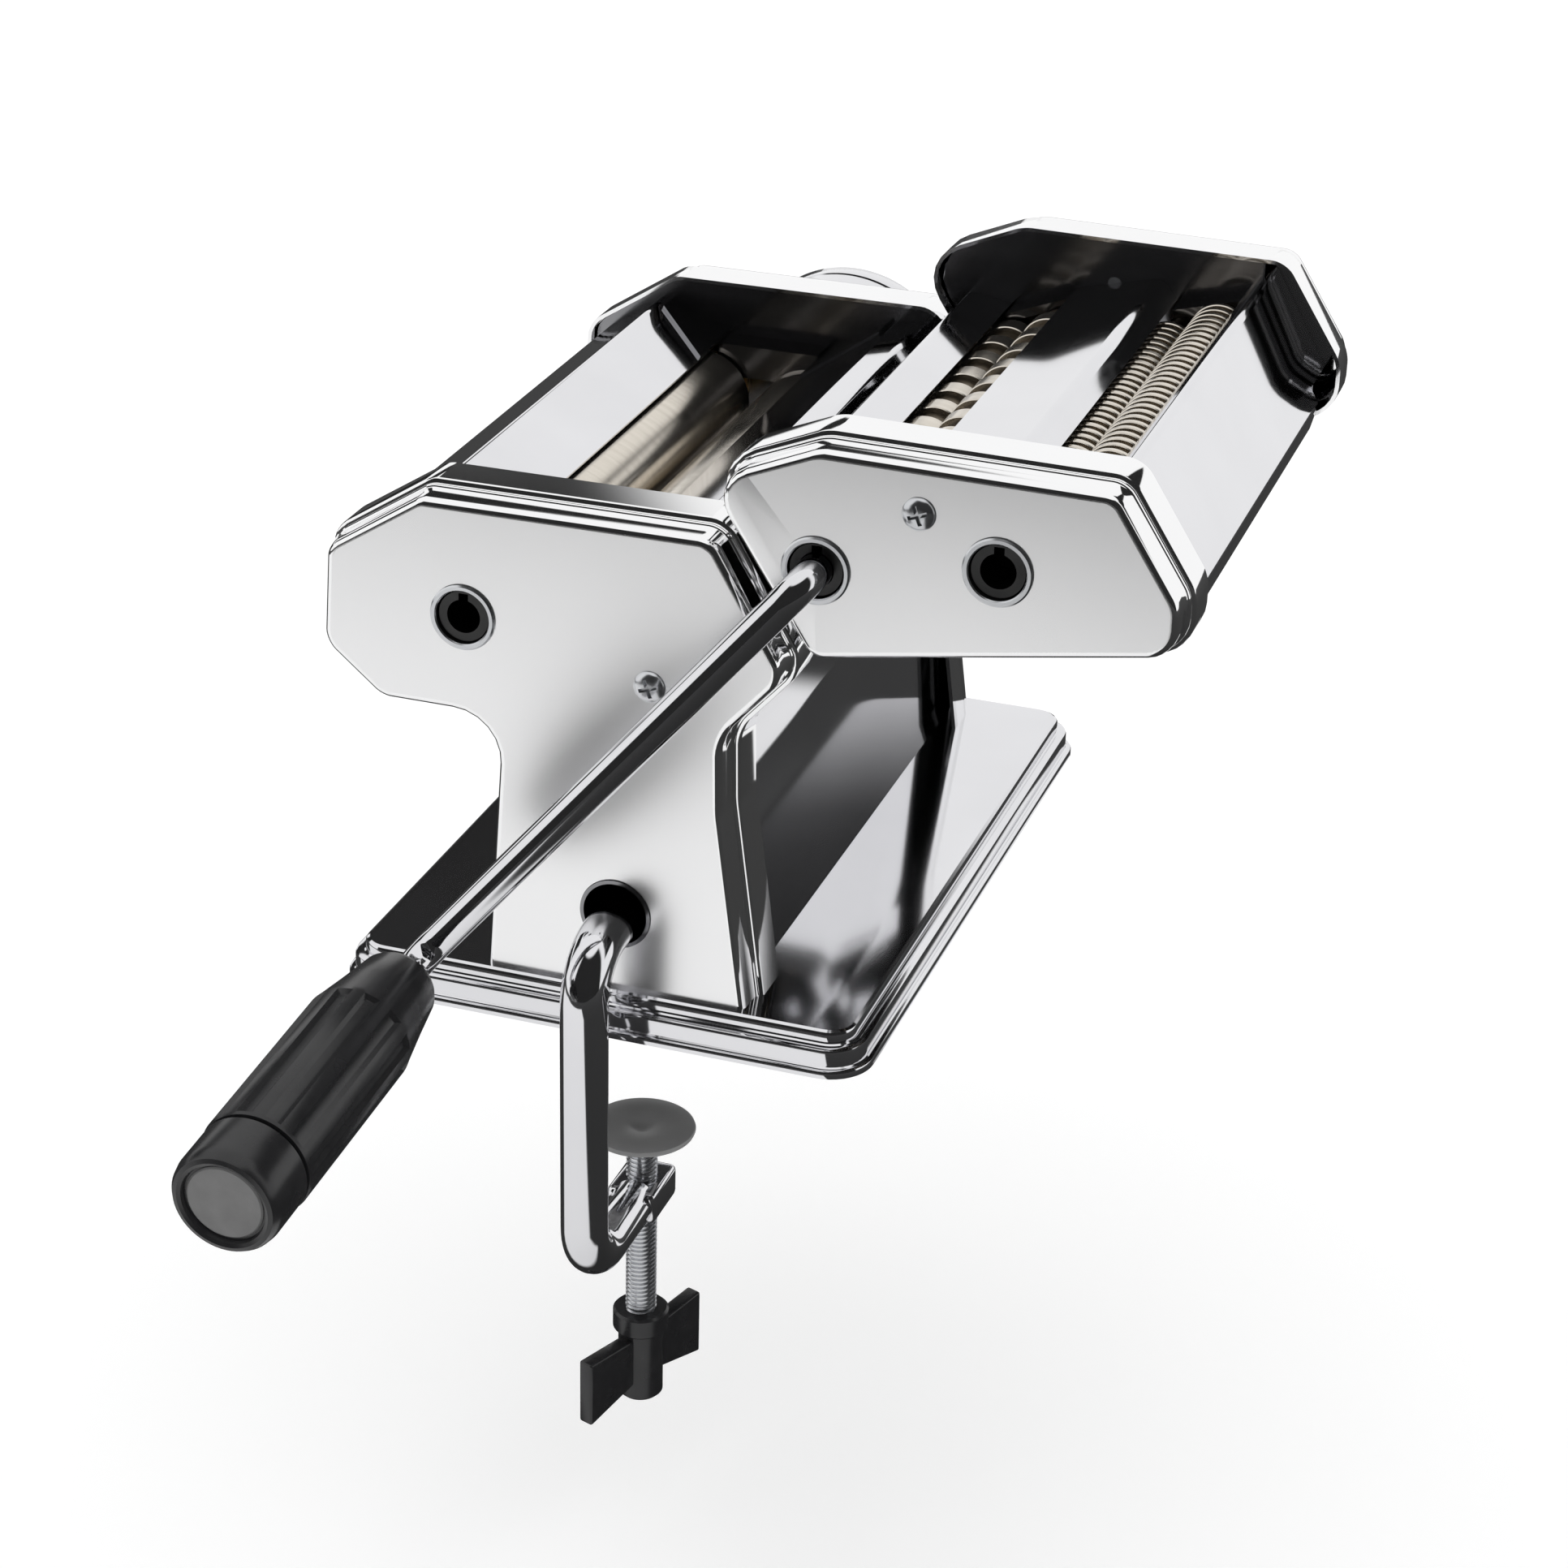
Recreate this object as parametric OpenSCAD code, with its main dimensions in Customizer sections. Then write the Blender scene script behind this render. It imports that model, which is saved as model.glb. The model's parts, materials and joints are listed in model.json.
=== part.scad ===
// Hand cranked pasta machine: main body with two smooth rollers and a dial, cutter head
// with a wide and a narrow pair of cutters, crank, and a screw clamp for the table edge.
// X runs to the right, Y from the crank side to the dial side, Z up. The origin is on the
// table plane, under the centre of the base.

/* [Base] */
// Length of the base from left to right
base_w = 135; // [126:1:150]
// Depth of the base from the crank side to the dial side
base_d = 203.4; // [198:0.2:216]
// Height of the top of the base above the table
base_h = 11.7; // [10.5:0.1:14]
// Radius of the corners of the base, seen from above
base_corner_r = 11; // [8:0.5:14]
// Sheet thickness of the base
base_wall = 1.2; // [0.8:0.1:1.6]
// Radius of a rubber foot
foot_r = 8; // [6:0.5:9]

/* [Main body] */
// Width of the main head, from its left side to its right corner
head_w = 112; // [108:0.5:118]
// Height of the top of the side covers above the table
head_h = 128.8; // [125:0.2:134]
// Distance between the outer faces of the two side covers
body_d = 190; // [186:1:194]
// Sheet thickness of the side covers
cover_wall = 1; // [0.8:0.1:1.2]
// How far the stepped rim of a side cover stands outside its face
rim_out = 3.4; // [2.8:0.1:4]
// Depth of a side cover, from its face to the edge of its rim
cover_depth = 19.5; // [18:0.5:20]
// Thickness of the steel side frames
frame_t = 2; // [1.5:0.1:2.2]
// Room for the gears between a side frame and the face of its cover
gear_room = 14; // [13.4:0.1:14.6]
// Thickness of the sheet panels
panel_t = 0.8; // [0.6:0.1:1]

/* [Smooth rollers] */
// Radius of the two smooth rollers
roller_r = 13; // [12.6:0.1:13.3]
// Widest gap between the smooth rollers
roller_gap = 2.6; // [2.4:0.1:2.8]
// How far the dial closes that gap
gap_travel = 2.2; // [1.5:0.1:2.2]
// Radius of the journals of the smooth rollers
journal_r = 5; // [4:0.2:5.2]
// Room between the end of a roller and its side frame
roller_end_room = 10.5; // [10:0.5:12]

/* [Cutter head] */
// Width of the cutter head across its side covers
cutter_w = 105.6; // [104:0.2:110]
// Height of the cutter head
cutter_h = 47.2; // [46.4:0.2:50]
// Radius of the four cutter rollers
cutter_r = 7.5; // [7.3:0.1:7.6]
// How deep the lands of one cutter roller reach into its neighbour's grooves
cutter_bite = 1.2; // [0.8:0.1:1.4]
// Distance between two lands on a wide cutter roller
wide_pitch = 13; // [8:0.5:16]
// Distance between two lands on a narrow cutter roller
narrow_pitch = 4; // [3.5:0.5:6]
// Radius of the journals of the cutter rollers
cutter_journal_r = 4; // [3.2:0.2:4.2]

/* [Thickness dial] */
// Radius of the thickness dial
dial_r = 30.5; // [24:0.5:32]
// Length of the thickness dial along its axis
dial_len = 14.7; // [13.5:0.1:18]
// How far the dial pulls out before it turns
dial_pull = 3; // [2:0.5:3]

/* [Crank] */
// Radius of the crank rod
crank_r = 4; // [3.5:0.1:4.1]
// Distance from the socket axis to the second bend, seen along the axis
crank_reach = 125.7; // [118:0.5:130]
// How far the first bend stands off the side cover
crank_stand_off = 8; // [7:0.5:12]
// How far the arm leans outwards over its reach
crank_lean = 28; // [26:0.5:34]
// Length of the plastic grip
grip_len = 90; // [80:1:100]
// Radius of the fluted part of the grip
grip_r = 13; // [11.5:0.5:15]
// Number of flutes round the grip
grip_flutes = 12; // [8:1:16]

/* [Clamp] */
// Radius of the bent clamp bar
clamp_bar_r = 5.8; // [5:0.1:6.2]
// Inner radius of the clamp socket in the neck
clamp_socket_r = 8; // [7.4:0.1:8.4]
// Distance from the face of the cover to the axis of the clamp's upright leg
clamp_stand_off = 20; // [19:0.5:20.5]
// Depth of the clamp's lower arm below the table plane
clamp_drop = 57; // [52:1:62]
// Distance from the upright leg to the clamp screw
clamp_throat = 39; // [36:1:44]
// Radius of the clamp screw
clamp_screw_r = 4; // [3.5:0.1:4.4]
// Radius of the clamp's pressure pad
clamp_pad_r = 13.5; // [11:0.5:15]
// Height of the clamp pad below the table plane at rest
clamp_pad_drop = 37.7; // [34:0.1:39]
// Span of the wings of the clamp's knob
wing_span = 44; // [36:1:50]

/* [Hidden] */
$fn = 64;
overrun = 1;
seam = 0.2;
bore_gap = 0.1;
part_gap = 0.3;
arc_steps = 4;

base_foot_h = 2.5;
base_lip_h = 2;
base_ledge_h = 4.8;
base_ledge_in = 1.6;
base_top_in = 4.2;
foot_stem_r = 4.5;
foot_inset = 17;

face_y = body_d / 2;
rim_y = face_y - cover_depth;
frame_out_y = face_y - gear_room;
frame_in_y = frame_out_y - frame_t;
roller_half = frame_in_y - roller_end_room;
frame_clear = 0.4;
frame_grow = rim_out - cover_wall - frame_clear;

// Where the sides of the main cover meet the base, as shares of the head's width
foot_shares = [-0.2535, 0.311];
// Corners of the main cover's face above its foot, counterclockwise from the right: X and
// radius as shares of the head's width, Z as a share of its height
main_outline_shares = [
    [0.250, 0.482, 0.223], [0.2465, 0.639, 0.125], [0.382, 0.771, 0.045], [0.227, 1.000, 0.036],
    [-0.402, 0.997, 0.027], [-0.605, 0.882, 0.036], [-0.618, 0.702, 0.045],
    [-0.496, 0.614, 0.045], [-0.214, 0.614, 0.116]
];
// Corners of the cutter cover's face, counterclockwise from the lower left: shares of
// the cutter head's width and height, and the radius as a share of its width
cutter_outline_shares = [
    [0.232, 0.000, 0.033], [1.000, 0.284, 0.057], [1.000, 0.504, 0.057],
    [0.861, 0.983, 0.033], [0.228, 1.000, 0.076], [0.000, 0.788, 0.066]
];
// Places of the cutter head, of axes and of screws as shares of their head
cutter_place_shares = [0.2357, 0.8276];
drive_axis_shares = [-0.309, 0.791];
wide_axis_shares = [0.232, 0.432];
narrow_axis_shares = [0.627, 0.561];
far_screw_shares = [-0.47, 0.86];
cutter_screw_shares = [0.4527, 0.7903];
clamp_socket_shares = [0.0313, 0.2438];
roller_line_angle = -7;
cutter_line_angle = 24.9;

function from_main(s) = [s[0] * head_w, s[1] * head_h];
function from_cutter(s) = from_main(cutter_place_shares) + [s[0] * cutter_w, s[1] * cutter_h];
function main_corners(foot_z) = concat(
    [for (share = foot_shares) [share * head_w, foot_z, 0]],
    [for (s = main_outline_shares) [each from_main(s), s[2] * head_w]]);
cutter_corners = [for (s = cutter_outline_shares) [each from_cutter(s), s[2] * cutter_w]];

roller_spacing = 2 * roller_r + roller_gap;
cutter_spacing = 2 * cutter_r - cutter_bite;
drive_axis = from_main(drive_axis_shares);
adjust_axis = drive_axis + roller_spacing * ray(roller_line_angle);
wide_axis = from_cutter(wide_axis_shares);
wide_driven_axis = wide_axis + cutter_spacing * ray(cutter_line_angle);
narrow_axis = from_cutter(narrow_axis_shares);
narrow_driven_axis = narrow_axis + cutter_spacing * ray(cutter_line_angle);
clamp_socket = from_main(clamp_socket_shares);
far_screw = from_main(far_screw_shares);
cutter_screw = from_cutter(cutter_screw_shares);

rim_step_y = face_y - 0.44 * cover_depth;
shoulder_y = face_y - 0.2 * cover_depth;
face_edge_y = face_y - 0.06 * cover_depth;
shoulder_out = 0.53 * rim_out;
face_edge_out = 0.3 * rim_out;

gear_t = 6;
gear_stand_off = 2.5;
gear_y = frame_out_y + gear_stand_off;
main_teeth = 14;
cutter_teeth = 12;
gear_backlash_angle = 1.3;
gear_root_gap = 0.1;
flank_steps = 3;
main_pressure_angle = 24.6;
cutter_pressure_angle = 20;
gear_tip_out = 0.8;

socket_r = 6.2;
socket_out_y = face_y - 0.4;
socket_depth = 12;
key_w = 2;
key_out = 1.5;
key_len = 6;
key_gap = 0.2;
ring_r = 8.1;
ring_sleeve_r = 7.3;
ring_bore_r = 6.6;
ring_proud = 0.8;

bush_r = 7.5;
bush_flange_r = 9;
bush_flange_t = 1.2;
tie_rod_r = 3;
tie_rod_places_shares = [[-0.535, 0.776], [0.215, 0.870], [0.125, 0.512], [-0.143, 0.388]];
cutter_tie_places_shares = [[0.42, 0.17], [0.50, 0.62], [0.86, 0.42]];
cutter_tie_r = 2;
frame_tab_d = 9;
frame_tab_t = 1.5;
frame_tab_ends_shares = [-0.19, 0.25];
socket_tube_wall = 0.9;
screw_head_r = 4;
screw_head_t = 1.7;
screw_shank_r = 1.8;
cross_len = 4.6;
cross_w = 1.1;
cross_deep = 1;
// The main screw lies beyond the tip circle of the adjustable roller's gear
main_screw_angle = -19.92;
main_screw_gap = 2.17;
main_screw = adjust_axis + (roller_spacing / 2 + gear_tip_out + screw_shank_r + main_screw_gap)
    * ray(main_screw_angle);

lip_gap = 1.1;
left_lip_angle = 79;
right_lip_angle = 80;
right_lip_extra = 2;
left_panel_shares = [
    [-0.451, 0.967, 0.018], [-0.607, 0.874, 0.027], [-0.613, 0.705, 0.036],
    [-0.499, 0.624, 0.018], [-0.47, 0.624, 0]
];
right_panel_shares = [
    [0.2500, 0.651, 0.02], [0.374, 0.7715, 0.036], [0.201, 0.981, 0.018],
    [0.137, 0.974, 0.018]
];
neck_right_shares = [[0.304, 0, 0], [0.2485, 0.482, 0.2], [0.2450, 0.636, 0.05], [0.2500, 0.651, 0]];
neck_left_shares = [[-0.125, 0.652, 0], [-0.219, 0.512, 0.05], [-0.251, 0, 0]];
guard_t = 1;
guard_y = roller_half + 1.5 * guard_t;
guard_low_shares = [0.8365, 0.905];
guard_reach = 23;
gusset_start_share = 0.12;
guard_inner_y = frame_in_y - guard_reach;
guard_fold_y = roller_half + 3.5 * guard_t;
gusset_t = 0.8;

carrier_t = 2.5;
carrier_r = 9;
carrier_gap = 0.3;
carrier_bar_r = 2.5;
carrier_bar_out = 5.5;
carrier_bar_angle = 40;
slot_spare_share = 0.1;
follower_w = 4;
follower_t = 2;
cam_t = 3;
cam_y = frame_out_y + gear_stand_off;
cam_small_r = 6;
dial_turn_span = 240;
cam_steps = 24;
cam_gap = 0.3;

scraper_t = 0.8;
scraper_len = 14;
drive_scrape_angle = 250;
adjust_scrape_angle = -58;
scraper_tilt = 20;

dial_plate_t = 1.6;
dial_plate_r = 0.9 * dial_r;
dial_step_r = 0.98 * dial_r;
dial_seat_y = face_y + dial_plate_t;
dial_shaft_r = 4;
dial_back_y = dial_seat_y + part_gap;
dial_recess_r = 9;
dial_spring_spare = 2.2;
dial_head_r = 7.6;
dial_head_t = 1.2;
dial_cap_t = 1.2;
dial_front_y = dial_back_y + dial_len;
spring_wire_r = 0.4;
spring_r = 6;
spring_turns = 3.5;
spring_rings = 8;
spring_sides = 6;
detents = 10;
detent_r = 1.2;
detent_out_share = 0.78;

land_gap = 0.24;
groove_extra = 0.25;
comb_t = 1;
comb_gap = 0.35;
comb_back_w = 5;
comb_lean = 12;
drive_comb_angle = -70;
driven_comb_angle = -95;
slot_gap = 1.6;
// Where the slots over the cutters end, as angles round the pair's left and right axis
wide_slot_angles = [115, 84];
narrow_slot_angles = [100, 62];
rail_head_w = 9;
rail_head_t = 1.5;
rail_stem_w = 4;
rail_stem_h = 2.6;
rail_len = 24;
rail_y = 56;
rail_low = 6;
bracket_wall = 1.2;

bend_steps = 6;
rod_sides = 24;
crank_bend_r = 9;
grip_droop = 4;
grip_nose_share = 0.25;
grip_cap_share = 0.17;
grip_start = 12;
grip_nose_r = 9.5;
grip_nose_tip_share = 0.8;
grip_nose_chamfer_share = 0.08;
// Profile of the grip's end cap from its axis outwards and round to its recess: shares of
// the grip's radius and of the cap's length
grip_cap_shares = [[0.98, 0], [0.98, 0.8], [0.9, 1], [0.72, 1], [0.68, 0.88], [0, 0.88]];
grip_bore_gap = 0.3;
flute_deep = 0.9;
flute_points = 6;
flute_width_share = 1.2;
crank_angle_shares = [-0.6484, -0.7613];

clamp_bend_r = 13;
clamp_in_len = 50;
clamp_eye_w = 13;
clamp_eye_len = 17;
clamp_eye_h = 9;
clamp_pad_t = 1.6;
clamp_pad_hub_r = 7;
clamp_pad_hub_h = 3;
clamp_thread_low = 92;
clamp_collar_r = 7.2;
clamp_collar_h = 6;
clamp_hub_r = 5.8;
clamp_hub_h = 20;
wing_t = 4.5;
wing_h = 19;
wing_tip_low = 1;
wing_waist_low = 4;
wing_waist_high = 19;
wing_angle = 71;
thread_gap = 0.12;

// Flat geometry in the X-Z plane

function ray(angle) = [cos(angle), sin(angle)];
function edge_angle(p, q) = atan2(q[1] - p[1], q[0] - p[0]);
function right_of(p, q) = edge_angle(p, q) - 90;
function wrap(angle) = angle > 180 ? angle - 360 : angle < -180 ? angle + 360 : angle;

// The points of one rounded corner q between p and r, moved outwards by grow; a corner
// with no radius is a foot that stays on its level
function corner_points(p, q, r, grow) =
    let (start = right_of(p, q),
        turn = wrap(edge_angle(q, r) - edge_angle(p, q)),
        na = ray(start),
        nb = ray(start + turn),
        bend = sign(turn) * q[2],
        centre = [q[0], q[1]] - (na + nb) * bend / (1 + na * nb))
    q[2] == 0
    ? [[q[0] + grow / (p[1] == q[1] ? nb[0] : na[0]), q[1]]]
    : [for (k = [0:arc_steps]) centre + (bend + grow) * ray(start + turn * k / arc_steps)];

// A closed outline with round corners, counterclockwise
function outline(corners, grow = 0) =
    let (n = len(corners))
    [for (i = [0:n - 1])
        each corner_points(corners[(i + n - 1) % n], corners[i], corners[(i + 1) % n], grow)];

// One side of a bent sheet: the path moved to its right by grow
function sheet_side(corners, grow) =
    let (n = len(corners),
        first = ray(right_of(corners[0], corners[1])),
        last = ray(right_of(corners[n - 2], corners[n - 1])))
    concat(
        [[corners[0][0], corners[0][1]] + first * grow],
        [for (i = [1:1:n - 2]) each corner_points(corners[i - 1], corners[i], corners[i + 1], grow)],
        [[corners[n - 1][0], corners[n - 1][1]] + last * grow]);

function backwards(list) = [for (i = [len(list) - 1:-1:0]) list[i]];

// Extrudes a flat X-Z shape from y0 to y1
module along_y(y0, y1) {
    translate([0, y1, 0])
    rotate([90, 0, 0])
    linear_extrude(y1 - y0)
    children();
}

// A bent sheet: the path is its outer face, its thickness lies on the path's left
module sheet(corners, t, y0, y1) {
    along_y(y0, y1)
    polygon(concat(sheet_side(corners, 0), backwards(sheet_side(corners, -t))));
}

module rod_y(place, r, y0, y1) {
    translate([place[0], y1, place[1]])
    rotate([90, 0, 0])
    cylinder(h = y1 - y0, r = r);
}

module below(z) {
    translate([-base_w, -base_d, z - base_w])
    cube([2 * base_w, 2 * base_d, base_w]);
}

// Rods bent in space

function unit(v) = v / norm(v);

// Stations [place, direction] of a bend at q between p and r
function bend_stations(p, q, r, bend_r, steps) =
    let (a = unit(q - p),
        b = unit(r - q),
        turn = acos(a * b),
        side = unit(b - (a * b) * a),
        start = q - a * bend_r * tan(turn / 2))
    [for (k = [0:steps])
        let (f = turn * k / steps)
        [start + bend_r * (sin(f) * a + (1 - cos(f)) * side), cos(f) * a + sin(f) * side]];

// The side directions carried along the stations without twist
function side_directions(stations, first) =
    [for (i = 0, u = first; i < len(stations);
        i = i + 1,
        u = i < len(stations) ? unit(u - (u * stations[i][1]) * stations[i][1]) : u) u];

// A round tube skin through the stations
module bent_rod(stations, r, sides, first) {
    sides_at = side_directions(stations, first);
    n = len(stations);
    polyhedron(
        points = [for (i = [0:n - 1]) for (k = [0:sides - 1])
            let (t = stations[i][1], u = sides_at[i], v = cross(t, u))
            stations[i][0] + r * (cos(360 * k / sides) * u + sin(360 * k / sides) * v)],
        faces = concat(
            [[for (k = [0:sides - 1]) k]],
            [[for (k = [0:sides - 1]) (n - 1) * sides + sides - 1 - k]],
            [for (i = [0:n - 2]) for (k = [0:sides - 1])
                [i * sides + (k + 1) % sides, i * sides + k,
                    (i + 1) * sides + k, (i + 1) * sides + (k + 1) % sides]]),
        convexity = 4);
}

// Gears

function involute(angle) = tan(angle) * 180 / PI - angle;
function flank_angle(base_r, r, base_half) =
    r <= base_r ? base_half : base_half - involute(acos(base_r / r));

// The outline of a spur gear with a tooth centred on the angle phase
function gear_points(teeth, root_r, base_r, tip_r, base_half, phase) =
    let (radii = concat([root_r], [for (k = [0:flank_steps]) base_r + (tip_r - base_r) * k / flank_steps]))
    [for (tooth = [0:teeth - 1])
        let (mid = phase + 360 * tooth / teeth)
        each concat(
            [for (r = radii) r * ray(mid - flank_angle(base_r, r, base_half))],
            [for (r = backwards(radii)) r * ray(mid + flank_angle(base_r, r, base_half))])];

// Half the angle that a tooth takes at the base circle, with no play at the nearest spacing
function base_half_angle(teeth, base_r, near_spacing) =
    90 / teeth + involute(acos(2 * base_r / near_spacing)) - gear_backlash_angle / 2;

module gear(place, teeth, spacing, near_spacing, base_r, phase, bore_r, y0, y1) {
    tip_r = spacing / 2 + gear_tip_out;
    root_r = near_spacing - tip_r - gear_root_gap;
    difference() {
        along_y(y0, y1)
        translate(place)
        polygon(gear_points(teeth, root_r, base_r, tip_r,
            base_half_angle(teeth, base_r, near_spacing), phase));
        rod_y(place, bore_r, y0 - overrun, y1 + overrun);
    }
}

// Base and feet

module base_step(inset, z0, z1) {
    r = base_corner_r - inset;
    translate([0, 0, z0])
    linear_extrude(z1 - z0)
    for (turn = [0, 1])
        union() {
            square([base_w - 2 * inset - 2 * r * turn, base_d - 2 * inset - 2 * r * (1 - turn)],
                center = true);
            for (x = [-1, 1], y = [-1, 1])
                translate([x * (base_w / 2 - inset - r), y * (base_d / 2 - inset - r)])
                circle(r = r);
        }
}

module base_plate() {
    lip_z = base_foot_h / 2;
    ledge_z = lip_z + base_lip_h;
    shelf_z = ledge_z + base_ledge_h;
    color("silver")
    difference() {
        union() {
            base_step(0, lip_z, ledge_z);
            base_step(base_ledge_in, ledge_z, shelf_z);
            base_step(base_top_in, shelf_z, base_h);
        }
        base_step(base_wall, lip_z - overrun, ledge_z - base_wall / 2);
        base_step(base_ledge_in + base_wall, lip_z, shelf_z - base_wall);
        base_step(base_top_in + base_wall, lip_z, base_h - base_wall);
    }
}

module rubber_feet() {
    color("dimgray")
    for (x = [-1, 1], y = [-1, 1])
        translate([x * (base_w / 2 - foot_inset), y * (base_d / 2 - foot_inset), 0]) {
            cylinder(h = base_foot_h, r = foot_r);
            cylinder(h = base_h - base_wall, r = foot_stem_r);
        }
}

// Side covers and frames

// Steps of a cover from its rim to its face: [how far outside the face's outline, Y]
cover_steps = [[rim_out, rim_step_y], [shoulder_out, shoulder_y], [face_edge_out, face_edge_y],
    [0, face_y]];

// A pressed sheet cover, open at its rim; the inner corners shape the room inside it
module cover_shell(corners, inner_corners) {
    difference() {
        for (step = cover_steps)
            along_y(rim_y, step[1])
            polygon(outline(corners, step[0]));
        for (step = cover_steps)
            along_y(rim_y - overrun, step[1] - cover_wall)
            polygon(outline(inner_corners, step[0] - cover_wall));
    }
}

module main_cover(screw) {
    difference() {
        cover_shell(main_corners(base_h), main_corners(base_h - overrun));
        rod_y(screw, screw_shank_r + part_gap, frame_out_y, face_y + overrun);
    }
}

module crank_side_cover() {
    color("gainsboro")
    mirror([0, 1, 0])
    difference() {
        main_cover(main_screw);
        rod_y(drive_axis, ring_sleeve_r + bore_gap, frame_out_y, face_y + overrun);
        rod_y(clamp_socket, clamp_socket_r + socket_tube_wall + bore_gap, frame_out_y,
            face_y + overrun);
    }
}

module dial_side_cover() {
    color("gainsboro")
    difference() {
        main_cover(far_screw);
        rod_y(adjust_axis, dial_shaft_r + part_gap, frame_out_y, face_y + overrun);
    }
}

module frame_plate(corners) {
    along_y(frame_in_y, frame_out_y)
    polygon(outline(corners, frame_grow));
}

// The long hole that lets the adjustable roller move towards the drive roller
module travel_slot(r, y0, y1) {
    away = -ray(roller_line_angle);
    for (share = [-slot_spare_share, 1 + slot_spare_share])
        rod_y(adjust_axis + away * gap_travel * share, r, y0, y1);
    along_y(y0, y1)
    translate(adjust_axis + away * gap_travel / 2)
    rotate(roller_line_angle)
    square([gap_travel * (1 + 2 * slot_spare_share), 2 * r], center = true);
}

module main_frame_plate(screw) {
    tab_x = frame_tab_ends_shares * head_w;
    difference() {
        union() {
            frame_plate(main_corners(base_h));
            translate([tab_x[0], frame_in_y - frame_tab_d, base_h])
            cube([tab_x[1] - tab_x[0], frame_tab_d + frame_t / 2, frame_tab_t]);
        }
        rod_y(drive_axis, bush_r + bore_gap, frame_in_y - overrun, frame_out_y + overrun);
        travel_slot(journal_r + part_gap * 2, frame_in_y - overrun, frame_out_y + overrun);
        rod_y(screw, screw_shank_r + bore_gap, frame_in_y - overrun, frame_out_y + overrun);
    }
}

module crank_side_frame() {
    color("gray")
    mirror([0, 1, 0])
    difference() {
        main_frame_plate(main_screw);
        rod_y(clamp_socket, clamp_socket_r + socket_tube_wall + bore_gap,
            frame_in_y - overrun, frame_out_y + overrun);
    }
}

module dial_side_frame() {
    color("gray")
    difference() {
        main_frame_plate(far_screw);
        follower_window();
    }
}

// Panels of the main body

left_lip = drive_axis + (roller_r + lip_gap + panel_t) * ray(left_lip_angle);
right_lip = adjust_axis + (roller_r + lip_gap + right_lip_extra + panel_t) * ray(right_lip_angle);
function main_path(shares) = [for (s = shares) [each from_main(s), s[2] * head_w]];
left_path = concat([[each left_lip, 0]], main_path(left_panel_shares));
right_path = concat(main_path(right_panel_shares), [[each right_lip, 0]]);

module hopper_left_panel() {
    color("whitesmoke")
    sheet(left_path, panel_t, -frame_in_y, frame_in_y);
}

module hopper_right_panel() {
    color("whitesmoke")
    sheet(right_path, panel_t, -frame_in_y, frame_in_y);
}

module neck_right_panel() {
    color("gainsboro")
    difference() {
        sheet(main_path(neck_right_shares), panel_t, -frame_in_y, frame_in_y);
        below(base_h);
    }
}

module neck_left_panel() {
    color("gainsboro")
    difference() {
        sheet(main_path(neck_left_shares), panel_t, -frame_in_y, frame_in_y);
        below(base_h);
    }
}

// A thin plate on a slope between two X-Z points: full depth at low, short at the fold
module gusset(fold, low) {
    angle = edge_angle(fold, low);
    length = norm(low - fold);
    translate([fold[0], 0, fold[1]])
    rotate([0, -angle, 0])
    linear_extrude(gusset_t)
    polygon([[0, guard_fold_y], [length, guard_inner_y], [length, frame_in_y], [0, frame_in_y]]);
}

module end_guard() {
    low_z = guard_low_shares * head_h;
    left = left_lip[0] + seam;
    right = right_lip[0] - seam;
    top = low_z[1];
    along_y(guard_y, guard_y + guard_t)
    translate([left, low_z[0]])
    square([right - left, top - low_z[0]]);
    along_y(guard_y, frame_in_y)
    translate([left, top - guard_t])
    square([right - left, guard_t]);
    left_fold = [left_path[1][0], left_path[1][1]];
    right_fold = [right_path[3][0], right_path[3][1]];
    gusset(left_fold + gusset_start_share * (left_lip - left_fold), left_lip);
    mirror_gusset(right_fold + gusset_start_share * (right_lip - right_fold), right_lip);
}

// A gusset whose slope falls to the left
module mirror_gusset(fold, low) {
    mirror([1, 0, 0])
    gusset([-fold[0], fold[1]], [-low[0], low[1]]);
}

module hopper_end_guards() {
    color("darkgray") {
        end_guard();
        mirror([0, 1, 0])
        end_guard();
    }
}

module tie_rods() {
    color("silver")
    for (s = tie_rod_places_shares)
        rod_y(from_main(s), tie_rod_r, -frame_in_y, frame_in_y);
}

module clamp_socket_tube() {
    color("silver")
    difference() {
        rod_y(clamp_socket, clamp_socket_r + socket_tube_wall, -face_y - ring_proud / 2, frame_in_y);
        rod_y(clamp_socket, clamp_socket_r, -face_y - overrun, frame_in_y + overrun);
    }
}

module drive_bushes() {
    color("goldenrod")
    for (side = [0, 1])
        mirror([0, side, 0])
        difference() {
            union() {
                rod_y(drive_axis, bush_r, frame_in_y - bush_flange_t / 2, frame_out_y + part_gap);
                rod_y(drive_axis, bush_flange_r, frame_in_y - bush_flange_t, frame_in_y);
            }
            rod_y(drive_axis, journal_r + bore_gap, frame_in_y - 2 * bush_flange_t,
                frame_out_y + overrun);
        }
}

module scraper(place, angle, tilt) {
    edge = place + (roller_r + part_gap) * ray(angle);
    sheet([[each edge, 0], [each (edge + scraper_len * ray(angle + tilt)), 0]],
        scraper_t, -frame_in_y, frame_in_y);
}

module roller_scrapers() {
    color("silver") {
        scraper(drive_axis, drive_scrape_angle, -scraper_tilt * 2);
        scraper(adjust_axis, adjust_scrape_angle, scraper_tilt);
    }
}

module socket_ring(place) {
    difference() {
        union() {
            rod_y(place, ring_r, face_y, face_y + ring_proud);
            rod_y(place, ring_sleeve_r, face_y - 2 * cover_wall, face_y + ring_proud / 2);
        }
        rod_y(place, ring_bore_r, face_y - 3 * cover_wall, face_y + overrun);
    }
}

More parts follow.
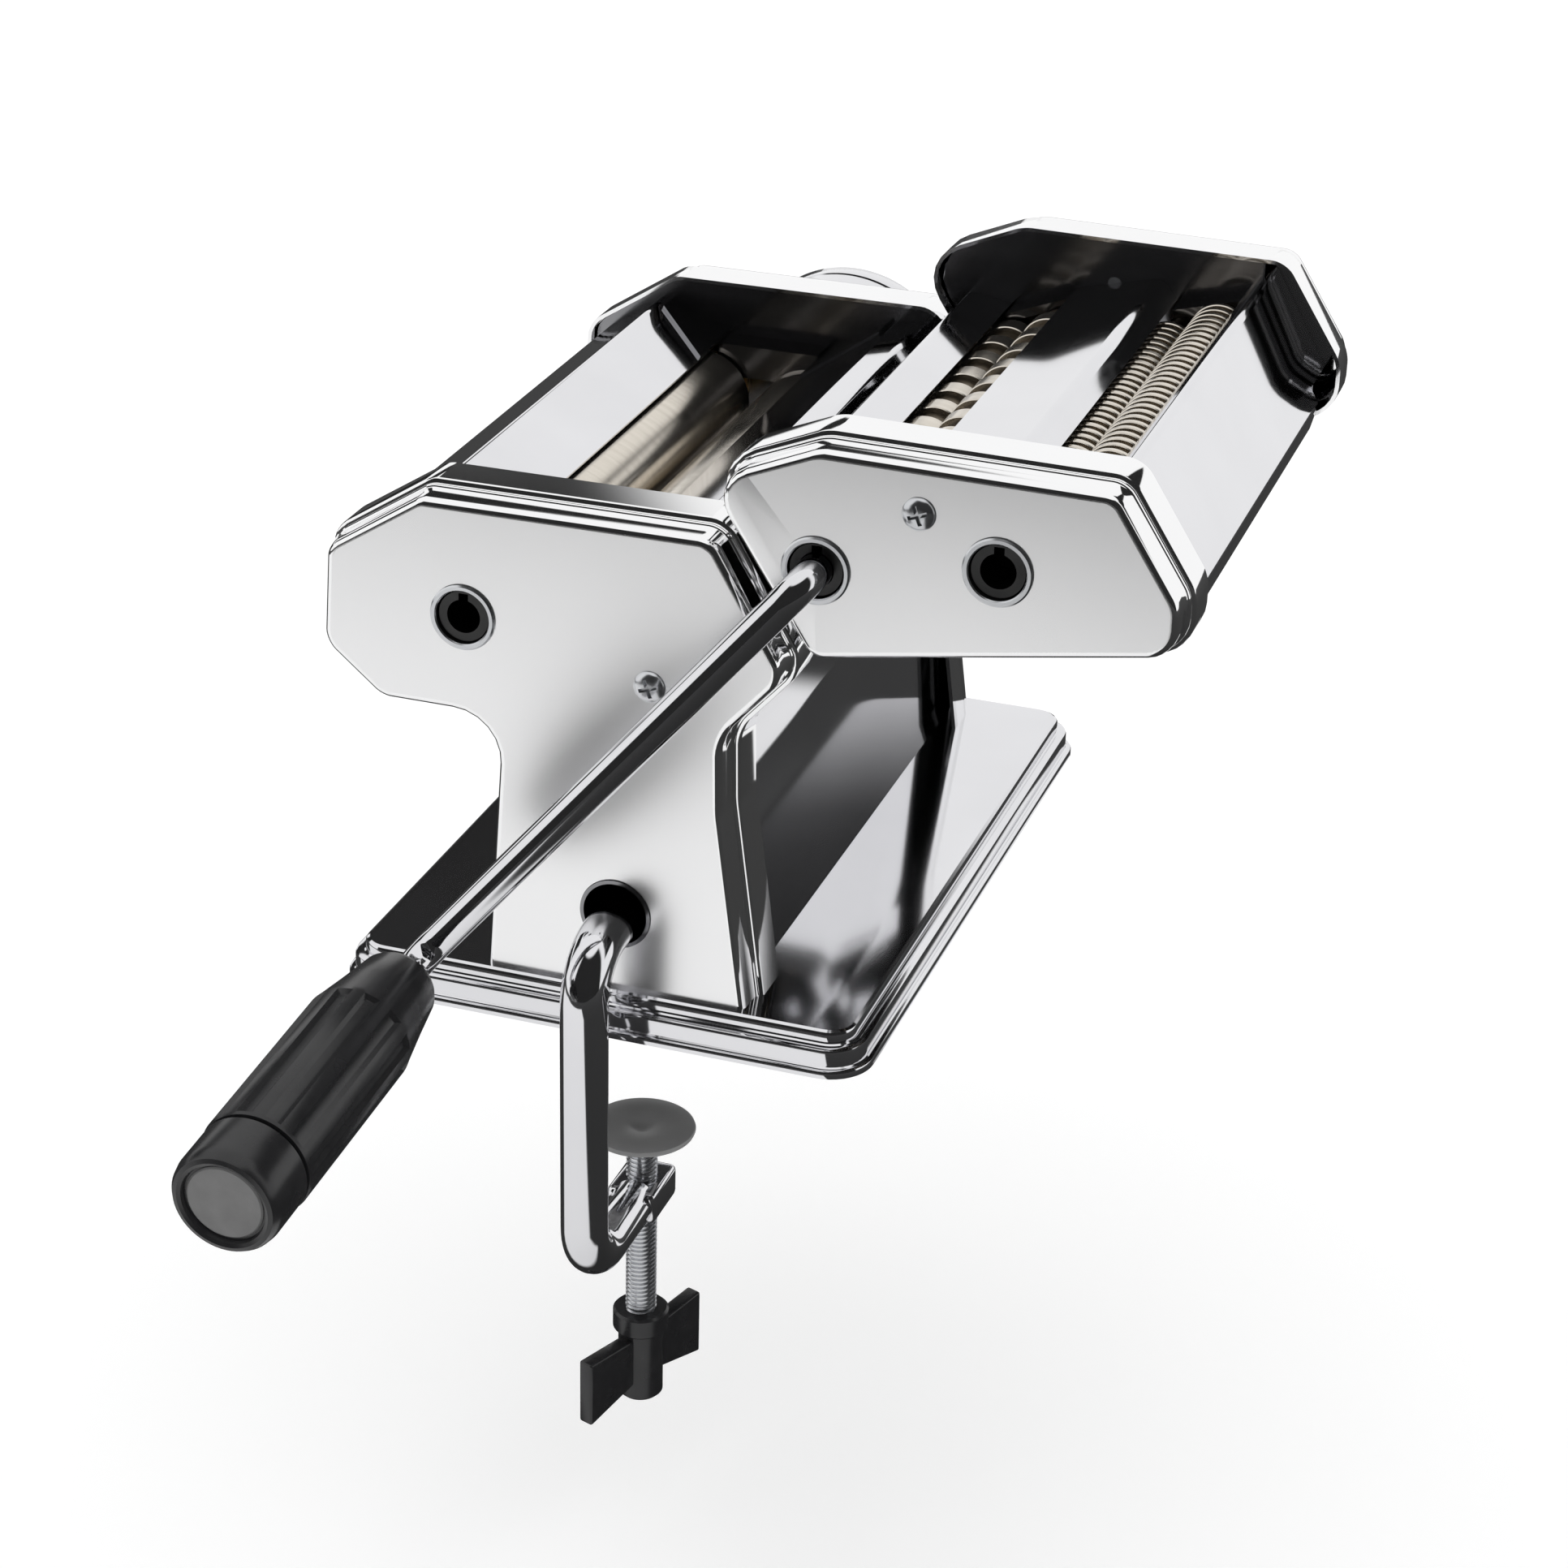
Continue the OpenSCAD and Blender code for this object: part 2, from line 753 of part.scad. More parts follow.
module main_socket_ring() {
    color("silver")
    mirror([0, 1, 0])
    socket_ring(drive_axis);
}

module dial_detent_plate() {
    color("silver")
    difference() {
        rod_y(adjust_axis, dial_plate_r, face_y, dial_seat_y);
        rod_y(adjust_axis, dial_shaft_r + part_gap, face_y - overrun, dial_seat_y + overrun);
        for (k = [0:detents - 1])
            rod_y(adjust_axis + detent_out_share * dial_plate_r
                * ray(90 - dial_turn_span * k / (detents - 1)), detent_r,
                face_y + dial_plate_t / 2, dial_seat_y + overrun);
    }
}

module cover_screw(place) {
    difference() {
        union() {
            rod_y(place, screw_head_r, face_y, face_y + screw_head_t);
            rod_y(place, screw_shank_r, frame_in_y, face_y + screw_head_t / 2);
        }
        for (turn = [45, 135])
            translate([place[0], face_y + screw_head_t, place[1]])
            rotate([0, turn, 0])
            cube([cross_len, 2 * cross_deep, cross_w], center = true);
    }
}

module screw_pair(near_place, far_place) {
    color("silver") {
        mirror([0, 1, 0])
        cover_screw(near_place);
        cover_screw(far_place);
    }
}

module cover_screws() {
    screw_pair(main_screw, far_screw);
}

// Smooth rollers, their gears and the drive socket

module drive_roller() {
    color("beige")
    union() {
        rod_y(drive_axis, roller_r, -roller_half, roller_half);
        rod_y(drive_axis, journal_r, -frame_out_y - part_gap, frame_out_y + overrun);
    }
}

module adjustable_roller() {
    color("beige")
    union() {
        rod_y(adjust_axis, roller_r, -roller_half, roller_half);
        rod_y(adjust_axis, journal_r, -gear_y - gear_t - seam, frame_out_y);
    }
}

near_roller_spacing = roller_spacing - gap_travel;
main_gear_base_r = near_roller_spacing / 2 * cos(main_pressure_angle);

module drive_gear() {
    color("slategray")
    gear(drive_axis, main_teeth, roller_spacing, near_roller_spacing, main_gear_base_r,
        roller_line_angle, socket_r + bore_gap / 2, -gear_y - gear_t, -gear_y);
}

module adjustable_gear() {
    color("slategray")
    gear(adjust_axis, main_teeth, roller_spacing, near_roller_spacing, main_gear_base_r,
        180 + roller_line_angle + 180 / main_teeth, journal_r + bore_gap / 2,
        -gear_y - gear_t, -gear_y);
}

// The end that the crank plugs into, with a keyway
module crank_socket(place) {
    color("darkgray")
    mirror([0, 1, 0])
    difference() {
        rod_y(place, socket_r, frame_out_y + part_gap, socket_out_y);
        rod_y(place, crank_r + bore_gap + bore_gap / 2, socket_out_y - socket_depth,
            socket_out_y + overrun);
        translate([place[0] - key_w / 2 - key_gap, socket_out_y - socket_depth, place[1]])
        cube([key_w + 2 * key_gap, socket_depth + overrun, crank_r + key_out + key_gap]);
    }
}

module drive_socket() {
    crank_socket(drive_axis);
}

// Sliding carriers of the adjustable roller

carrier_y0 = frame_in_y - carrier_gap - carrier_t;
carrier_y1 = frame_in_y - carrier_gap;
carrier_bar = adjust_axis + (roller_r + carrier_bar_out) * ray(carrier_bar_angle);
toward_drive = -ray(roller_line_angle);
follower_at = adjust_axis + toward_drive * (cam_small_r + cam_gap + follower_t / 2);

module follower_block(grow, ahead, y0, y1) {
    along_y(y0, y1)
    translate(follower_at + toward_drive * ahead / 2)
    rotate(roller_line_angle)
    square([follower_t + ahead + 2 * grow, follower_w + 2 * grow], center = true);
}

module follower_window() {
    follower_block(part_gap * 2, gap_travel, frame_in_y - overrun, frame_out_y + overrun);
}

module carrier_plate(y0, y1) {
    difference() {
        union() {
            rod_y(adjust_axis, carrier_r, y0, y1);
            rod_y(carrier_bar, carrier_bar_r * 2, y0, y1);
            along_y(y0, y1)
            translate((adjust_axis + carrier_bar) / 2)
            rotate(carrier_bar_angle)
            square([norm(carrier_bar - adjust_axis), 3 * carrier_bar_r], center = true);
        }
        rod_y(adjust_axis, journal_r + bore_gap, y0 - overrun, y1 + overrun);
    }
}

module roller_carriers() {
    color("gray")
    union() {
        carrier_plate(carrier_y0, carrier_y1);
        carrier_plate(-carrier_y1, -carrier_y0);
        rod_y(carrier_bar, carrier_bar_r, -carrier_y1, carrier_y1);
        follower_block(0, 0, carrier_y0, cam_y + cam_t);
    }
}

// Thickness dial, its shaft with the spiral cam, and its spring

module dial_shaft() {
    color("silver")
    union() {
        rod_y(adjust_axis, dial_shaft_r, frame_out_y + part_gap, dial_head_y);
        rod_y(adjust_axis, dial_head_r, dial_head_y, dial_head_y + dial_head_t);
        along_y(cam_y, cam_y + cam_t)
        translate(adjust_axis)
        polygon([for (k = [0:cam_steps])
            (cam_small_r + gap_travel * k / cam_steps)
            * ray(180 + roller_line_angle - dial_turn_span * k / cam_steps)]);
    }
}

dial_head_y = dial_front_y - dial_cap_t - part_gap - dial_head_t;
dial_floor_y = dial_head_y - dial_pull - 2 * spring_wire_r * spring_turns - dial_spring_spare;

module dial_spring() {
    low = dial_floor_y + spring_wire_r + seam;
    high = dial_head_y - spring_wire_r - seam;
    steps = spring_turns * spring_rings;
    rise = (high - low) / steps;
    stations = [for (k = [0:steps])
        let (a = 360 * k / spring_rings, run = 2 * PI * spring_r / spring_rings)
        [[adjust_axis[0] + spring_r * cos(a), low + rise * k, adjust_axis[1] + spring_r * sin(a)],
            unit([-sin(a) * run, rise, cos(a) * run])]];
    color("lightgray")
    bent_rod(stations, spring_wire_r, spring_sides, [1, 0, 0]);
}

module thickness_dial() {
    color("silver")
    difference() {
        union() {
            rod_y(adjust_axis, dial_r, dial_back_y, dial_back_y + dial_len / 2);
            rod_y(adjust_axis, dial_step_r, dial_back_y + dial_len / 4, dial_front_y);
        }
        rod_y(adjust_axis, dial_shaft_r + bore_gap, dial_back_y - overrun, dial_front_y);
        rod_y(adjust_axis, dial_recess_r, dial_floor_y, dial_front_y + overrun);
    }
}

module dial_cap() {
    color("silver")
    rod_y(adjust_axis, dial_recess_r - bore_gap, dial_front_y - dial_cap_t, dial_front_y);
}

// Clamp

clamp_z = clamp_socket[1] - clamp_socket_r + clamp_bar_r + bore_gap;
clamp_leg_y = -face_y - clamp_stand_off;
clamp_screw_y = clamp_leg_y + clamp_throat;
clamp_x = clamp_socket[0];
clamp_eye_low = -clamp_drop - clamp_eye_h / 2;

module clamp_bar() {
    inner = [clamp_x, -face_y + clamp_in_len, clamp_z];
    top_bend = [clamp_x, clamp_leg_y, clamp_z];
    low_bend = [clamp_x, clamp_leg_y, -clamp_drop];
    tip = [clamp_x, clamp_screw_y - clamp_screw_r - part_gap, -clamp_drop];
    stations = concat(
        [[inner, [0, -1, 0]]],
        bend_stations(inner, top_bend, low_bend, clamp_bend_r, bend_steps),
        bend_stations(top_bend, low_bend, tip, clamp_bend_r, bend_steps),
        [[tip, [0, 1, 0]]]);
    color("lightgray")
    difference() {
        union() {
            bent_rod(stations, clamp_bar_r, rod_sides, [1, 0, 0]);
            translate([clamp_x - clamp_eye_w / 2, clamp_screw_y - clamp_eye_len / 2, clamp_eye_low])
            cube([clamp_eye_w, clamp_eye_len, clamp_eye_h]);
        }
        translate([clamp_x, clamp_screw_y, clamp_eye_low - overrun])
        cylinder(h = clamp_eye_h + 2 * overrun, r = clamp_screw_r + thread_gap);
    }
}

clamp_pad_low = -clamp_pad_drop - clamp_pad_t - clamp_pad_hub_h;

module clamp_pad() {
    color("darkgray")
    translate([clamp_x, clamp_screw_y, 0])
    difference() {
        union() {
            translate([0, 0, -clamp_pad_drop - clamp_pad_t])
            cylinder(h = clamp_pad_t, r = clamp_pad_r);
            translate([0, 0, clamp_pad_low])
            cylinder(h = clamp_pad_hub_h + clamp_pad_t / 2, r = clamp_pad_hub_r);
        }
        translate([0, 0, clamp_pad_low - overrun])
        cylinder(h = clamp_pad_hub_h + overrun, r = clamp_screw_r + bore_gap);
    }
}

module clamp_screw() {
    color("silver")
    translate([clamp_x, clamp_screw_y, -clamp_thread_low - clamp_hub_h / 2])
    cylinder(h = clamp_thread_low + clamp_hub_h / 2 - clamp_pad_drop - clamp_pad_t - bore_gap,
        r = clamp_screw_r);
}

module clamp_wing_knob() {
    hub_low = -clamp_thread_low - clamp_hub_h - clamp_collar_h;
    color("black")
    translate([clamp_x, clamp_screw_y, 0])
    difference() {
        union() {
            translate([0, 0, -clamp_thread_low - clamp_collar_h])
            cylinder(h = clamp_collar_h, r = clamp_collar_r);
            translate([0, 0, hub_low])
            cylinder(h = clamp_hub_h + clamp_collar_h / 2, r = clamp_hub_r);
            rotate([0, 0, wing_angle])
            translate([0, 0, hub_low])
            along_y(-wing_t / 2, wing_t / 2)
            for (side = [-1, 1])
                polygon([[0, wing_waist_low], [side * wing_span / 2, wing_tip_low],
                    [side * wing_span / 2, wing_tip_low + wing_h], [0, wing_waist_high]]);
        }
        translate([0, 0, -clamp_thread_low - clamp_hub_h / 2 - overrun])
        cylinder(h = clamp_hub_h + clamp_collar_h + overrun, r = clamp_screw_r + bore_gap / 2);
    }
}

// Cutter head shell

module cutter_cover() {
    difference() {
        cover_shell(cutter_corners, cutter_corners);
        rod_y(cutter_screw, screw_shank_r + part_gap, frame_out_y, face_y + overrun);
    }
}

module cutter_crank_side_cover() {
    color("gainsboro")
    mirror([0, 1, 0])
    difference() {
        cutter_cover();
        for (place = [wide_axis, narrow_axis])
            rod_y(place, ring_sleeve_r + bore_gap, frame_out_y, face_y + overrun);
    }
}

module cutter_far_side_cover() {
    color("gainsboro")
    cutter_cover();
}

module cutter_frame_plate() {
    color("gray")
    difference() {
        frame_plate(cutter_corners);
        for (place = [wide_axis, wide_driven_axis, narrow_axis, narrow_driven_axis])
            rod_y(place, cutter_journal_r + bore_gap, frame_in_y - overrun, frame_out_y + overrun);
        rod_y(cutter_screw, screw_shank_r + bore_gap, frame_in_y - overrun, frame_out_y + overrun);
    }
}

module cutter_crank_side_frame() {
    mirror([0, 1, 0])
    cutter_frame_plate();
}

module cutter_far_side_frame() {
    cutter_frame_plate();
}

module cutter_tie_rods() {
    color("silver")
    for (s = cutter_tie_places_shares)
        rod_y(from_cutter(s), cutter_tie_r, -frame_in_y, frame_in_y);
}

module cutter_socket_rings() {
    color("silver")
    mirror([0, 1, 0])
    for (place = [wide_axis, narrow_axis])
        socket_ring(place);
}

module cutter_cover_screws() {
    screw_pair(cutter_screw, cutter_screw);
}

// Cutter head panels

slot_edge_r = cutter_r + slot_gap;
wide_slot_left = wide_axis + slot_edge_r * ray(wide_slot_angles[0]);
wide_slot_right = wide_driven_axis + slot_edge_r * ray(wide_slot_angles[1]);
narrow_slot_left = narrow_axis + slot_edge_r * ray(narrow_slot_angles[0]);
narrow_slot_right = narrow_driven_axis + slot_edge_r * ray(narrow_slot_angles[1]);
function cutter_path(shares) = [for (s = shares) [each from_cutter(s), s[2] * cutter_w]];
cutter_left_shares = [[0.0625, 0.657, 0.018], [0.231, 0.017, 0]];
cutter_middle_shares = [[0.572, 0.858, 0.03]];
cutter_right_shares = [[0.972, 0.139, 0], [0.988, 0.284, 0.02], [0.823, 0.917, 0.018]];
cutter_right_inside_shares = [0.9645, 0.374, 0];

module cutter_left_panel() {
    color("white")
    sheet(concat([[each wide_slot_left, 0]], cutter_path(cutter_left_shares)), panel_t,
        -frame_in_y, frame_in_y);
}

module cutter_middle_panel() {
    color("white")
    sheet(concat([[each narrow_slot_left, 0]], cutter_path(cutter_middle_shares),
        [[each wide_slot_right, 0]]), panel_t, -frame_in_y, frame_in_y);
}

// The right panel hangs below the side covers, and is shorter where it lies inside their rims
module cutter_right_panel() {
    path = concat(cutter_path(cutter_right_shares), [[each narrow_slot_right, 0]]);
    inside = concat(cutter_path([cutter_right_inside_shares]), [path[2], path[3]]);
    color("white")
    union() {
        sheet(path, panel_t, -rim_y + part_gap, rim_y - part_gap);
        sheet(inside, panel_t, -frame_in_y, frame_in_y);
    }
}

// A plate that closes one end of a slot, with a flange out to the frame
module slot_end(left, right) {
    angle = edge_angle(left, right);
    along = ray(angle);
    length = norm(right - left) - 2 * seam - panel_t;
    place = left + along * (seam + panel_t / 2) - ray(angle + 90) * panel_t / 2;
    along_y(guard_y, guard_y + guard_t)
    translate(place)
    rotate(angle)
    translate([0, -slot_end_deep])
    square([length, slot_end_deep]);
    along_y(guard_y, frame_in_y)
    translate(place)
    rotate(angle)
    translate([0, -guard_t])
    square([length, guard_t]);
}
slot_end_deep = 2.2;

module cutter_end_guards() {
    color("darkgray")
    for (side = [0, 1])
        mirror([0, side, 0]) {
            slot_end(wide_slot_left, wide_slot_right);
            slot_end(narrow_slot_left, narrow_slot_right);
        }
}

// Slide rails on the main body and the brackets of the cutter head that hang on them

guide_low = from_main(main_outline_shares[2]);
guide_high = from_main(main_outline_shares[3]);
guide_angle = edge_angle(guide_low, guide_high);
guide_out = ray(guide_angle - 90);
// The room between the main body's side and the cutter head's left panel
guide_gap = min([for (s = cutter_left_shares) (from_cutter(s) - guide_low) * guide_out]);

// Places a flat shape (across the guide, out from the main body) and runs it up the guide
module up_guide(start, length) {
    translate([guide_low[0], 0, guide_low[1]])
    rotate([0, 90 - guide_angle, 0])
    translate([0, 0, start])
    linear_extrude(length)
    rotate(90)
    children();
}

rail_seat = 0.3;
module cutter_rails() {
    color("silver")
    for (side = [-1, 1])
        up_guide(rail_low, rail_len)
        translate([side * rail_y, 0]) {
            translate([-rail_stem_w / 2, -rail_stem_h - rail_head_t])
            square([rail_stem_w, rail_stem_h + rail_head_t + rail_seat]);
            translate([-rail_head_w / 2, -rail_stem_h - rail_head_t])
            square([rail_head_w, rail_head_t]);
        }
}

module cutter_brackets() {
    inner_w = rail_head_w + 2 * part_gap;
    outer_w = inner_w + 2 * bracket_wall;
    hook = rail_stem_h - part_gap - bracket_wall;
    back = rail_stem_h + rail_head_t + part_gap;
    color("silver")
    for (side = [-1, 1])
        up_guide(rail_low, rail_len)
        translate([side * rail_y, 0])
        difference() {
            translate([-outer_w / 2, -guide_gap])
            square([outer_w, guide_gap - hook]);
            translate([-inner_w / 2, -back])
            square([inner_w, back - hook - bracket_wall]);
            translate([-rail_stem_w / 2 - part_gap, -back])
            square([rail_stem_w + 2 * part_gap, back]);
        }
}

// Cutter rollers, gears and combs

function land_places(pitch, phase) =
    let (most = ceil(roller_half / pitch))
    [for (k = [-most:most])
        let (y = (k + phase) * pitch)
        if (abs(y) + pitch / 4 < roller_half) y];

cutter_root_r = cutter_spacing - cutter_r - groove_extra;
far_end_y = gear_y + gear_t + seam;

module cutter_roller(place, pitch, phase) {
    half_land = pitch / 4 - land_gap / 2;
    color("linen")
    union() {
        translate([place[0], 0, place[1]])
        rotate([90, 0, 0])
        rotate_extrude()
        polygon(concat([[0, -roller_half], [cutter_root_r, -roller_half]],
            [for (y = land_places(pitch, phase)) each [[cutter_root_r, y - half_land],
                [cutter_r, y - half_land], [cutter_r, y + half_land],
                [cutter_root_r, y + half_land]]],
            [[cutter_root_r, roller_half], [0, roller_half]]));
        rod_y(place, cutter_journal_r, -frame_out_y - part_gap, far_end_y);
    }
}

module cutter_gear(place, phase) {
    color("slategray")
    gear(place, cutter_teeth, cutter_spacing, cutter_spacing,
        cutter_spacing / 2 * cos(cutter_pressure_angle), phase,
        cutter_journal_r + bore_gap / 2, gear_y, gear_y + gear_t);
}

driven_phase = 180 + cutter_line_angle + 180 / cutter_teeth;
module wide_drive_roller() { cutter_roller(wide_axis, wide_pitch, 0); }
module wide_driven_roller() { cutter_roller(wide_driven_axis, wide_pitch, 0.5); }
module narrow_drive_roller() { cutter_roller(narrow_axis, narrow_pitch, 0); }
module narrow_driven_roller() { cutter_roller(narrow_driven_axis, narrow_pitch, 0.5); }
module wide_drive_gear() { cutter_gear(wide_axis, cutter_line_angle); }
module wide_driven_gear() { cutter_gear(wide_driven_axis, driven_phase); }
module narrow_drive_gear() { cutter_gear(narrow_axis, cutter_line_angle); }
module narrow_driven_gear() { cutter_gear(narrow_driven_axis, driven_phase); }
module wide_socket() { crank_socket(wide_axis); }
module narrow_socket() { crank_socket(narrow_axis); }

// A comb whose fingers lie in the grooves of one cutter roller and strip it
module comb(place, pitch, phase, angle, lean) {
    tip = place + (cutter_root_r + comb_gap) * ray(angle);
    reach = cutter_r - cutter_root_r + comb_back_w;
    finger_half = pitch / 4 + land_gap / 2 - comb_gap;
    translate([tip[0], 0, tip[1]])
    rotate([0, -(angle + lean), 0])
    translate([0, 0, -comb_t / 2])
    linear_extrude(comb_t)
    union() {
        translate([reach, -frame_in_y])
        square([comb_back_w, 2 * frame_in_y]);
        for (y = land_places(pitch, phase + 0.5))
            translate([0, y - finger_half])
            square([reach + overrun, 2 * finger_half]);
    }
}

module wide_combs() {
    color("silver") {
        comb(wide_axis, wide_pitch, 0, drive_comb_angle, -comb_lean);
        comb(wide_driven_axis, wide_pitch, 0.5, driven_comb_angle, comb_lean);
    }
}

module narrow_combs() {
    color("silver") {
        comb(narrow_axis, narrow_pitch, 0, drive_comb_angle, -comb_lean);
        comb(narrow_driven_axis, narrow_pitch, 0.5, driven_comb_angle, comb_lean);
    }
}

// Crank

crank_first_y = -face_y - crank_stand_off;
crank_dir = unit(crank_angle_shares);
crank_second = [wide_axis[0] + crank_reach * crank_dir[0], crank_first_y - crank_lean,
    wide_axis[1] + crank_reach * crank_dir[1]];
grip_dir = [0, -cos(grip_droop), -sin(grip_droop)];

module crank_arm() {
    socket_end = [wide_axis[0], -socket_out_y + socket_depth - part_gap, wide_axis[1]];
    first = [wide_axis[0], crank_first_y, wide_axis[1]];
    last = crank_second + (grip_start + grip_len * (1 - grip_cap_share)) * grip_dir;
    first_bend = bend_stations(socket_end, first, crank_second, crank_bend_r, bend_steps);
    bend_start = first_bend[0][0];
    stations = concat(
        [[bend_start + [0, crank_r / 2, 0], [0, -1, 0]]],
        first_bend,
        bend_stations(first, crank_second, last, crank_bend_r, bend_steps),
        [[last, grip_dir]]);
    color("lightgray")
    union() {
        bent_rod(stations, crank_r - bore_gap / 4, rod_sides, [1, 0, 0]);
        rod_y(wide_axis, crank_r, bend_start[1], socket_end[1]);
        translate([wide_axis[0] - key_w / 2, socket_end[1] - key_len, wide_axis[1]])
        cube([key_w, key_len, crank_r + key_out]);
    }
}

// Turns a shape along +Z onto the grip's own axis, from the second bend outwards
module on_grip_axis(start) {
    translate(crank_second)
    rotate([90 + grip_droop, 0, 0])
    translate([0, 0, start])
    children();
}

grip_cap_len = grip_cap_share * grip_len;
module crank_grip() {
    nose = grip_nose_share * grip_len;
    body_len = grip_len - grip_cap_len;
    color("black")
    on_grip_axis(grip_start)
    difference() {
        union() {
            rotate_extrude()
            polygon([[0, 0], [grip_nose_tip_share * grip_nose_r, 0],
                [grip_nose_r, grip_nose_chamfer_share * nose],
                [grip_r - 2 * flute_deep, nose], [0, nose]]);
            translate([0, 0, nose])
            linear_extrude(body_len - nose)
            polygon([for (k = [0:grip_flutes * flute_points - 1])
                let (across = 2 * (k % flute_points) / flute_points - 1)
                (grip_r - flute_deep * max(0, 1 - across * across * flute_width_share))
                * ray(360 * k / (grip_flutes * flute_points))]);
        }
        translate([0, 0, -overrun])
        cylinder(h = body_len + 2 * overrun, r = crank_r + grip_bore_gap);
    }
}

module grip_end_cap() {
    color("black")
    on_grip_axis(grip_start + grip_len - grip_cap_len)
    difference() {
        rotate_extrude()
        polygon(concat([[0, part_gap]], [for (s = grip_cap_shares)
            [s[0] * grip_r, max(part_gap, s[1] * grip_cap_len)]]));
        translate([0, 0, -overrun])
        cylinder(h = overrun + 2 * part_gap, r = crank_r + grip_bore_gap);
    }
}

base_plate();
rubber_feet();
crank_side_cover();
dial_side_cover();
crank_side_frame();
dial_side_frame();
hopper_left_panel();
hopper_right_panel();
neck_left_panel();
neck_right_panel();
hopper_end_guards();
tie_rods();
clamp_socket_tube();
drive_bushes();
roller_scrapers();
main_socket_ring();
dial_detent_plate();
cover_screws();
cutter_rails();
drive_roller();
drive_gear();
drive_socket();
roller_carriers();
adjustable_roller();
adjustable_gear();
dial_shaft();
dial_spring();
thickness_dial();
dial_cap();
clamp_bar();
clamp_pad();
clamp_screw();
clamp_wing_knob();
cutter_crank_side_cover();
cutter_far_side_cover();
cutter_crank_side_frame();
cutter_far_side_frame();
cutter_left_panel();
cutter_middle_panel();
cutter_right_panel();
cutter_end_guards();
cutter_tie_rods();
cutter_socket_rings();
cutter_brackets();
wide_combs();
narrow_combs();
cutter_cover_screws();
wide_drive_roller();
wide_drive_gear();
wide_socket();
wide_driven_roller();
wide_driven_gear();
narrow_drive_roller();
narrow_drive_gear();
narrow_socket();
narrow_driven_roller();
narrow_driven_gear();
crank_arm();
crank_grip();
grip_end_cap();
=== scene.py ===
"""Looks of a hand cranked pasta machine: chromed covers, rollers, crank and table clamp.

Lengths in this file are millimetres unless a name says otherwise. The pieces are built in the
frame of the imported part: X to the right, Y from the crank side to the dial side, Z up.
"""

import json
import logging
import math
from dataclasses import dataclass
from enum import Enum, IntEnum
from functools import partial, reduce
from typing import Callable, Iterable, Sequence

import bmesh
import bpy
from bmesh.types import BMEdge, BMesh, BMFace, BMVert
from mathutils import Matrix, Vector


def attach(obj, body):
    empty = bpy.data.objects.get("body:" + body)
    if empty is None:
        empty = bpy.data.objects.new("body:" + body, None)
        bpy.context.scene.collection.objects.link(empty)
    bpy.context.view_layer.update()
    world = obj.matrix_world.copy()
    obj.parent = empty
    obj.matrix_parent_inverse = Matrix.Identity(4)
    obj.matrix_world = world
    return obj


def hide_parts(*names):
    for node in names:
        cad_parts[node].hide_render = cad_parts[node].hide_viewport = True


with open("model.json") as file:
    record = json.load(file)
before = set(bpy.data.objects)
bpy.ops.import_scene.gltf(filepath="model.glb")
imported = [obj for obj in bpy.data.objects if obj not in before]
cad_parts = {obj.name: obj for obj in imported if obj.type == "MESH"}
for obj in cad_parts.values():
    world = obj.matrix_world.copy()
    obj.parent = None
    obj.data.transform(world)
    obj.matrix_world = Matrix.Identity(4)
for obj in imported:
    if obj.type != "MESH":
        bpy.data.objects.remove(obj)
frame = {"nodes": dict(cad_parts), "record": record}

LOG = logging.getLogger("pasta_machine")
METRES = 0.001
# Edges that turn more degrees than this stay sharp, and larger faces than this are shaded flat
SHARP_TURN = 30
FLAT_AREA = 600.0
# Vertices nearer to each other than this are one
MERGE = 1e-4

Profile = Sequence[tuple[float, float]]
Triple = tuple[float, float, float]
Fill = Callable[[BMesh], None]


class Slot(str, Enum):
    """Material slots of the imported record."""

    CHROME = "polished_chrome"
    FRAME = "frame_steel"
    GEAR = "gear_steel"
    ROLLER = "roller_nickel"
    ZINC = "zinc_plate"
    BRASS = "bush_brass"
    RUBBER = "foot_rubber"
    PLASTIC = "black_plastic"


class Body(str, Enum):
    """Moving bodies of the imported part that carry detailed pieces."""

    ROOT = "machine_frame"
    DRIVE = "drive_roller_set"
    ADJUST = "adjustable_roller_set"
    DIAL = "dial_knob"
    ARM = "clamp_arm"
    FOOT = "clamp_foot"
    SCREW = "clamp_screw_set"
    CUTTER = "cutter_head"
    WIDE_DRIVE = "wide_drive_set"
    WIDE_DRIVEN = "wide_driven_set"
    NARROW_DRIVE = "narrow_drive_set"
    NARROW_DRIVEN = "narrow_driven_set"
    CRANK = "crank"
    GRIP = "grip"


class Side(IntEnum):
    """Which end of the machine a piece is at, as the sign of its Y."""

    CRANK = -1
    FAR = 1


class Affect(str, Enum):
    """What a bevel rounds."""

    EDGES = "EDGES"
    VERTICES = "VERTICES"


# Finishes


@dataclass(frozen=True)
class Finish:
    """How a surface looks.

    Args:
        name: name of the material.
        dark: linear colour in the darker streaks.
        light: linear colour in the lighter ones.
        metallic: 1 for bare metal, 0 for plastic and rubber.
        rough_low: lowest roughness.
        rough_high: highest roughness.
        scale: how fine the streaks are, per metre, along X, Y and Z.
        bump: strength of the relief.
        flat_y: how far along Y a large flat face lies, in metres; 0 for none.
        flat_rough: roughness of that face.
    """

    name: str
    dark: Triple
    light: Triple
    metallic: float
    rough_low: float
    rough_high: float
    scale: Triple
    bump: float
    flat_y: float = 0.0
    flat_rough: float = 0.0


